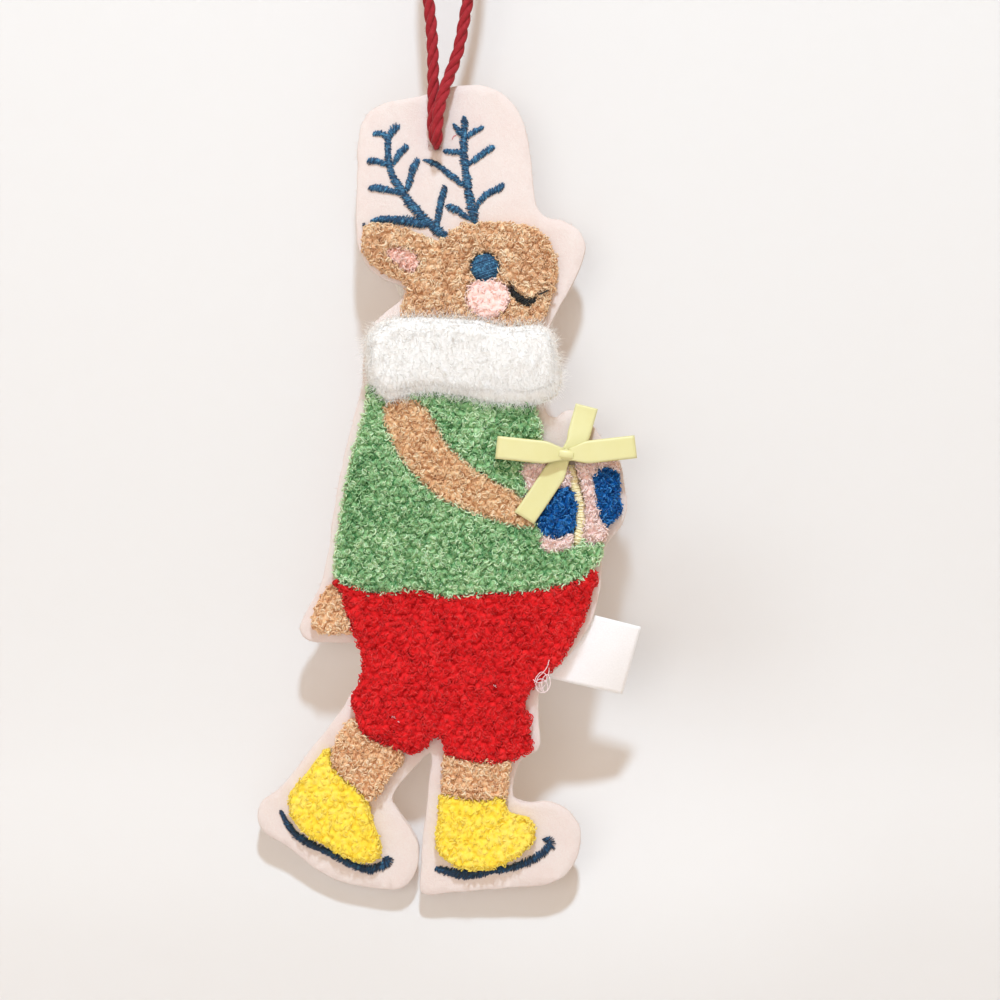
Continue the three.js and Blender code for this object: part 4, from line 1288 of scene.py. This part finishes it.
# Fur collar
FUR_PITCH = 0.44 * MM
FUR_STEPS = 4
FUR_SEED = 80
FUR_RADIUS = 0.065 * MM
FUR_GRID = 0.7 * MM
FUR_GROWTH = 1.2 * MM
FUR_SKIN = 0.1 * MM
FUR_ROOT = 0.25 * MM
FUR_ROUNDING = 2.2
FUR_TOP_SHARE = 0.6
FUR_LUMPS = [(110, 5.3, 0.55), (320, 2.9, 0.25)]
FUR_LENGTHS = (1.4, 2.6)
FUR_TIP = 0.3
FUR_LIFT = 0.25
FUR_COMB = 0.5
FUR_STRAY = 0.7
FUR_DROOP = (0, 0.25, -0.15)
FUR_WAVER = 0.3
FUR_TONES = (0.7, 1.0)
FUR_THICKNESSES = (0.7, 1.2)
FUR_CURVE = 0.85
FUR_LEVEL = 0.75
BORDER_POWER = 6
BORDER_GROWTH = 0.5
FUR_JITTER = 0.5
FUR_BED_SHARE = 0.93
WISP_PITCH = 0.4 * MM
WISPS_EACH = 6
WISP_LENGTHS = (1.0, 2.5)
WISP_DEPTHS = (0.05, 0.45)
WISP_FACINGS = (-0.8, 0.0)
WISP_STARTS = (-1.1, 0.6)
WISP_STRAY = 0.6
WISP_BEND = 0.35


def puff(places, middle, reach):
    """How far the fur stands out at places, in metres: rounded from its top to its foot, with soft lumps."""
    lifts = []
    for x, z in places:
        above = (z - middle) / reach
        bend = above if above < 0 else FUR_TOP_SHARE * above
        round_off = math.sqrt(max(0.0, 1 - FUR_CURVE * bend * bend)) - FUR_LEVEL
        lifts.append((lumps(x, z, FUR_LUMPS) + FUR_ROUNDING * round_off) * MM)
    return np.array(lifts)[:, None]


def add_fur(bundle, rng, starts, outward, bends, lengths):
    """Strands of fur that thin out, each with its own thickness and tone."""
    count = len(starts)
    radii = FUR_RADIUS * np.linspace(1, FUR_TIP, FUR_STEPS)[None] * rng.uniform(*FUR_THICKNESSES, (count, 1))
    bundle.add_strands(starts, outward, bends, lengths, radii, rng.uniform(*FUR_TONES, count))


def add_collar():
    """A strip of white fur: a soft puffed body under short fine strands, with wisps round its edges."""
    rng = np.random.default_rng(FUR_SEED)
    node = "fur_collar"
    low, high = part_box(node)
    middle = (low.z + high.z) / 2
    reach = (high.z - low.z) / 2
    bundle = Bundle()
    bundle.add_bed(node, FUR_BED_SHARE, -FUR_GROWTH, 1.0)
    points, normals, places, cells = front_grid(node, FUR_GRID)
    bundle.add(points + normals * (puff(places, middle, reach) - FUR_SKIN), [cells], 1.0)
    places = scattered((low.x, low.z), (high.x, high.z), FUR_PITCH, rng, FUR_JITTER)
    points, normals, which = on_front(node, places)
    count = len(points)
    above = (points[:, 2] - middle) / reach
    beside = (points[:, 0] - (low.x + high.x) / 2) / (high.x - low.x) * 2
    combed = np.stack([0.8 * beside**3, 0 * above, 0.5 * above - 0.3], 1)
    outward = unit(FUR_LIFT * normals + FUR_COMB * combed + FUR_STRAY * any_way(rng, count))
    start = points + normals * (puff(places[which], middle, reach) - FUR_ROOT)
    border = np.maximum(np.abs(above), np.abs(beside)) ** BORDER_POWER
    length = rng.uniform(*FUR_LENGTHS, (count, 1, 1)) * (1 + BORDER_GROWTH * border)[:, None, None] * MM
    droop = np.array(FUR_DROOP) + rng.normal(0, FUR_WAVER, (count, 3))
    add_fur(bundle, rng, start, outward, droop, length)
    add_wisps(bundle, rng, node)
    made = carried(bundle.build("collar_fur", fur_material()), "fur", node)


def add_wisps(bundle, rng, node):
    """Wisps of fur round the edges of a node."""
    low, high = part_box(node)
    rim = smooth_line(back_outlines(node)[0], WISP_PITCH, closed=True)
    which = np.repeat(np.arange(len(rim)), WISPS_EACH)
    count = len(which)
    beside = directions(rim)[which]
    start = at_depth(rim[which], low.y + (high.y - low.y) * rng.uniform(*WISP_DEPTHS, count))
    out = at_depth(beside, rng.uniform(*WISP_FACINGS, count))
    start = start - at_depth(beside, 0) * rng.uniform(*WISP_STARTS, (count, 1)) * MM
    out = unit(out + WISP_STRAY * rng.normal(size=(count, 3)))
    bend = rng.normal(0, WISP_BEND, (count, 3))
    add_fur(bundle, rng, start, out, bend, rng.uniform(*WISP_LENGTHS, (count, 1, 1)) * MM)


# Cord. Its route follows the CAD model's, point by point, and then runs on into the hole.
CORD_DIAMETER = 3.2 * MM
CORD_ROUTE = [
    (-5.9, 0, -73.0), (-5.9, 0, -69.5), (-5.8, 0, -65.5), (-5.8, 0, -60.5), (-5.8, 0, -56.0),
    (-5.9, 0, -50.0), (-6.3, 0, -43.0), (-7.0, 0, -36.0), (-7.6, 0, -28.0), (-8.0, 0, -20.0),
    (-7.7, 0, -12.0), (-6.4, 0, -5.0), (-3.8, 0, 0.1), (0, 0, 1.6), (3.8, 0, 0.1), (6.4, 0, -5.0),
    (7.2, 0, -12.0), (6.6, 0, -20.0), (5.2, 0, -28.0), (3.7, 0, -34.8), (2.4, 0, -42.0),
    (1.0, -0.1, -49.0), (-0.6, -0.5, -54.0), (-2.2, -1.8, -58.6), (-3.4, -2.9, -62.5),
    (-4.2, -3.5, -66.5), (-4.6, -3.7, -70.0), (-4.7, -3.7, -73.0),
]
CORD_START = [(-5.1, 3.2, -75.3), (-5.4, 0.9, -74.6)]
CORD_END = [(-5.0, -1.2, -75.2), (-5.0, 3.2, -75.3)]
CORD_STEP = 0.55 * MM
CORD_GUIDE = (0.0, 1.0, 0.2)
CORD_PITCH = 12.5 * MM
PLY_COUNT = 3
PLY_SIDES = 10
PLY_OFFSET = 0.8 * MM
PLY_RADIUS = 0.86 * MM
PINCH_SHARE = 0.12
PINCH_START = 1.7 * MM
PINCH_REACH = 5.5 * MM
PINCH_EASING = 0.8
CORD_HAIRS = 700
CORD_SEED = 90
CORD_HAIR_RADIUS = 0.03 * MM
CORD_HAIR_LENGTHS = (0.4, 0.9)
CORD_HAIR_ROOT = 0.42
CORD_HAIR_TAPER = (1, 0.8, 0.4)
CORD_HAIR_TONE = 0.7
CORD_HAIR_LEAN = 1.2
CORD_HAIR_STRAY = 0.3


def add_cord():
    """Three plies twisted together, pinched where both legs go into the hole."""
    line = smooth_line(np.array([*CORD_START, *CORD_ROUTE, *CORD_END]) * MM, CORD_STEP)
    lengths = travel(line)
    along, normals, others = (found[0] for found in frames(line[None], CORD_GUIDE))
    from_end = np.minimum(lengths, lengths[-1] - lengths)
    opened = np.clip((from_end - PINCH_START) / PINCH_REACH, 0, 1) ** PINCH_EASING
    pinch = PINCH_SHARE + (1 - PINCH_SHARE) * opened
    bundle = Bundle()
    for ply in range(PLY_COUNT):
        offset = swept(2 * math.pi * (lengths / CORD_PITCH + ply / PLY_COUNT), normals, others)
        path = line + offset * (PLY_OFFSET * pinch)[:, None]
        bundle.add_tubes(path[None], (PLY_RADIUS * pinch)[None], PLY_SIDES, 0.5)
    rng = np.random.default_rng(CORD_SEED)
    which = rng.integers(4, len(line) - 4, CORD_HAIRS)
    out = swept(rng.uniform(0, 2 * math.pi, CORD_HAIRS), normals[which], others[which])
    start = line[which] + out * CORD_DIAMETER * CORD_HAIR_ROOT
    lean = out + along[which] * rng.normal(0, CORD_HAIR_LEAN, (CORD_HAIRS, 1))
    lean = lean + rng.normal(0, CORD_HAIR_STRAY, (CORD_HAIRS, 3))
    length = rng.uniform(*CORD_HAIR_LENGTHS, (CORD_HAIRS, 1, 1)) * MM
    radii = CORD_HAIR_RADIUS * np.array([CORD_HAIR_TAPER])
    bundle.add_strands(start, unit(lean), 0 * lean, length, radii, CORD_HAIR_TONE)
    made = bundle.build("cord_loop", cord_material())
    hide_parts("hanger_loop", "hanger_knot")
    path = [tuple(float(v) for v in p) for p in line]
    length = float(lengths[-1])
    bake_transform(made)


# Bow. Its lengths and widths are in millimetres, as is how far before the felt it lies.
RIBBON_THICKNESS = 0.32 * MM
RIBBON_COLUMNS = 9
SELVEDGE_THINNING = 0.2
SELVEDGE_START = 0.82
BOW_SHARES = (833, 543)
RIBBON_WIDTH = 6.1
GATHERED_SHARE = 0.52
GATHER_REACH = 6.5
LOOP_REACH = 18.6
LOOP_START = 0.6
LOOP_STEPS = 16
FOLD_STEPS = 13
LOOP_LEVEL = 4.75
LOOP_RISE = 1.9
LOOP_SAG = 0.15
LOOP_CROWN = 0.35
LOOP_DIP = 0.7
DIP_REACH = 6
LOOPS = [("bow_right_loop", "bow_loop_right", 6.5), ("bow_left_loop", "bow_loop_left", 174)]
TAIL_LEVEL = 4.2
TAIL_START = 0.8
TAIL_STEPS = 22
SHIFT_REACH = 5
# Each end has a name, its node, its turn, its reach, how far it drops and leans, and its shift aside.
TAILS = [
    ("bow_upper_tail", "bow_tail_upper", 75.5, 14.1, 2.2, -2, -2.0),
    ("bow_lower_tail", "bow_tail_lower", 238.5, 20.3, -0.3, -4, 0),
]
WRAP_TURN = -8
WRAP_STEPS = 33
WRAP_WIDTH = 4.0
WRAP_HALF = 1.3
WRAP_LEVEL = 3.0
WRAP_RISE = 3.8
WRAP_FOOT = 0.2
WRAP_SQUARENESS = 0.6
WRAP_CUP = -0.3
WRAP_FLARE = 0.3


def add_band(name, node, spine, across, widths, material, cup=0.0):
    """A ribbon along a spine, with the direction across it and its width at each place."""
    across = unit(np.broadcast_to(across, spine.shape))
    face = unit(np.cross(unit(np.gradient(spine, axis=0)), across))
    shares = np.linspace(-1, 1, RIBBON_COLUMNS)
    lift = cup * (shares**2 - 0.5) * MM
    grid = spine[:, None] + across[:, None] * (widths[:, None] / 2 * shares)[..., None]
    grid = grid + face[:, None] * lift[None, :, None]
    thick = RIBBON_THICKNESS * (1 - SELVEDGE_THINNING * (np.abs(shares) == 1))
    half = face[:, None] * (thick / 2)[None, :, None]
    tone = np.clip((np.abs(shares) - SELVEDGE_START) / (1 - SELVEDGE_START), 0, 1)
    made = add_slab(name, grid + half, grid - half, material, tone=tone, along=travel(spine)[:, None])
    carried(made, "ribbon", node)


def bow_line(turn, distances, levels, sways):
    """A line that leaves the bow's middle at an angle, and the directions along and across it."""
    angle = math.radians(turn)
    along = np.array([math.cos(angle), 0, math.sin(angle)])
    across = np.array([-math.sin(angle), 0, math.cos(angle)])
    origin = at_depth(spot(BOW_SHARES)[0], FELT_FRONT)
    moves = ((along, distances), (FRONT, levels), (across, sways))
    return origin + sum(way * np.reshape(far, (-1, 1)) * MM for way, far in moves), along, across


def gathered(distance):
    """The ribbon's width at a distance from the knot, in metres: it is gathered into the knot."""
    share = eased(np.clip(distance / GATHER_REACH, 0, 1))
    return RIBBON_WIDTH * (GATHERED_SHARE + (1 - GATHERED_SHARE) * share) * MM


def loop_profile():
    """The distances and levels of a loop: out from the knot, round its fold and back over itself."""
    fold = LOOP_RISE / 2
    reach = LOOP_REACH - fold
    out = np.linspace(LOOP_START, reach, LOOP_STEPS)
    back = out[::-1]
    turns = np.linspace(0, math.pi, FOLD_STEPS)[1:-1]
    dip = LOOP_DIP * (1 - np.minimum(1.0, back / DIP_REACH)) ** 2
    lower = LOOP_LEVEL - LOOP_SAG * np.sin(math.pi * out / reach)
    bend = LOOP_LEVEL + fold * (1 - np.cos(turns))
    upper = LOOP_LEVEL + LOOP_RISE + LOOP_CROWN * np.sin(math.pi * back / reach) - dip
    distances = np.concatenate([out, reach + fold * np.sin(turns), back])
    return distances, np.concatenate([lower, bend, upper])


def add_bow():
    """Two loops, two ends, and the ribbon's wrap: a short puffed band over their middle."""
    material = ribbon_material()
    distances, levels = loop_profile()
    for name, node, turn in LOOPS:
        spine, _, across = bow_line(turn, distances, levels, 0)
        add_band(name, node, spine, across, gathered(distances), material)
    for name, node, turn, reach, drop, lean, shift in TAILS:
        distances = np.linspace(TAIL_START, reach, TAIL_STEPS)
        share = distances / reach
        sway = np.radians(lean) * share**2 * reach / 2 + shift * eased(np.clip(distances / SHIFT_REACH, 0, 1))
        spine, _, across = bow_line(turn, distances, TAIL_LEVEL - drop * eased(share), sway)
        add_band(name, node, spine, across, gathered(distances), material)
    turns = np.linspace(-0.5, 1.5, WRAP_STEPS) * math.pi
    beside, out = (np.sign(v) * np.abs(v) ** WRAP_SQUARENESS for v in (np.cos(turns), np.sin(turns)))
    levels = np.clip(WRAP_LEVEL + WRAP_RISE * out, WRAP_FOOT, None)
    spine, along, _ = bow_line(WRAP_TURN, 0, levels, WRAP_HALF * beside)
    widths = (WRAP_WIDTH + WRAP_FLARE * np.cos(turns) ** 2) * MM
    add_band("bow_wrap", "bow_knot", spine, along, widths, material, cup=WRAP_CUP)


# Label
LABEL_CORNER_SHARES = (1038, 331)
LABEL_TURN = 14
LABEL_WIDTH = 19.4 * MM
LABEL_LENGTH = 25.0 * MM
LABEL_THICKNESS = 0.25 * MM
LABEL_ROWS = 26
LABEL_COLUMNS = 21
FOLD_SHARES = [(903, 336), (823, 284)]
FOLD_STANDOFF = 1.3 * MM
UPPER_CURL = 1.0
LOWER_CURL = -5.3
LABEL_BELLY = 0.25
LABEL_EASING = 1.6


def add_label():
    """A blank woven tape that comes out of the seam and is a little twisted, its lower corner to the back."""
    tilt = math.radians(-LABEL_TURN)
    inward = np.array([-math.cos(tilt), -math.sin(tilt)])
    down = quarter_turn(inward)
    corner = spot(LABEL_CORNER_SHARES)[0]
    middle_y = (FELT_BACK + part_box("back_felt")[0].y) / 2
    upper, lower = spot(FOLD_SHARES)
    outward = quarter_turn(unit(lower - upper))
    side = np.linspace(0, LABEL_WIDTH, LABEL_COLUMNS)
    belly = LABEL_BELLY * np.sin(np.linspace(0, math.pi, LABEL_COLUMNS))
    height = (np.linspace(UPPER_CURL, LOWER_CURL, LABEL_COLUMNS) + belly) * MM

    def curled(reaches):
        """The label's middle layer at some distances from its free end, measured in the plane of the felt."""
        flat = corner + inward * reaches[:, None, None] + down * side[None, :, None]
        beyond = (flat - upper) @ outward - FOLD_STANDOFF
        share = np.clip(beyond / beyond[:1], 0, 1)
        return at_depth(flat, middle_y - height * share**LABEL_EASING)

    reaches = np.linspace(0, LABEL_LENGTH, 4 * LABEL_ROWS)
    lengths = travel(curled(reaches)[:, LABEL_COLUMNS // 2])
    run = np.linspace(0, LABEL_LENGTH, LABEL_ROWS)
    centre = curled(np.interp(run, lengths, reaches))
    half = LABEL_THICKNESS / 2 * FRONT
    made = add_slab("blank_label", centre + half, centre - half, label_material(),
                    along=run[:, None], across=side)
    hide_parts("label_tab", "label_flap")
    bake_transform(made)


# Stage. The wall's two profiles are its heights and how far back it lies there.
STAGE_SIZE = 6.0
FLOOR_DROP = 0.055
LEFT_WALL = [
    (0.3, 0.0165), (0.0, 0.0165), (-0.11, 0.0165), (-0.19, 0.017), (-0.215, 0.0165), (-0.24, 0.0142),
    (-0.262, 0.0095), (-0.28, 0.0063), (-0.3, 0.0052), (-0.32, 0.0048),
]
RIGHT_WALL = [
    (0.3, 0.0165), (0.0, 0.0165), (-0.11, 0.0165), (-0.155, 0.0166), (-0.18, 0.0185), (-0.2, 0.0235),
    (-0.218, 0.029), (-0.235, 0.0298), (-0.25, 0.0258), (-0.265, 0.018), (-0.28, 0.0102), (-0.3, 0.0056),
    (-0.32, 0.0048),
]
WALL_TURN = (-0.03, 0.03)
WALL_RETURN = (0.055, 0.125)
WALL_COLUMNS = 15
WALL_STEP = 0.006
PALE_STAGE = (221, 220, 220)


def add_stage():
    """A pale wall behind, which is hollow behind the label and near the figure's feet, and a pale floor."""
    pale = linear(*PALE_STAGE)
    wall = stage_material("pale_wall", pale, True)
    floor = stage_material("pale_floor", pale, False)
    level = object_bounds()[0].z - FLOOR_DROP
    half = STAGE_SIZE / 2
    left, right = (smooth_line(profile, WALL_STEP) for profile in (LEFT_WALL, RIGHT_WALL))
    heights = np.concatenate([[half], left[:, 0], [level]])
    left_depths, right_depths = (np.interp(-heights, -line[:, 0], line[:, 1]) for line in (left, right))
    spans = (WALL_TURN, WALL_RETURN)
    columns = np.concatenate([[-half], *(np.linspace(*span, WALL_COLUMNS) for span in spans), [half]])
    rise, fall = (eased(np.clip((columns - start) / (end - start), 0, 1)) for start, end in spans)
    turn = rise - fall
    depths = left_depths[:, None] * (1 - turn) + right_depths[:, None] * turn
    across, up = np.meshgrid(columns, heights)
    cells = grid_cells(np.arange(depths.size).reshape(depths.shape))[:, ::-1]
    add_mesh("wall", np.stack([across, depths, up], -1).reshape(-1, 3), [cells], wall)
    corners = [(-half, -half, level), (half, -half, level), (half, half, level), (-half, half, level)]
    add_mesh("floor", corners, [[(0, 1, 2, 3)]], floor, smooth=False)


add_lamps(add_camera())
add_sky()
add_cord()
add_felts()
add_piles()
add_stitches()
add_loose_threads()
add_collar()
add_bow()
add_label()
add_stage()
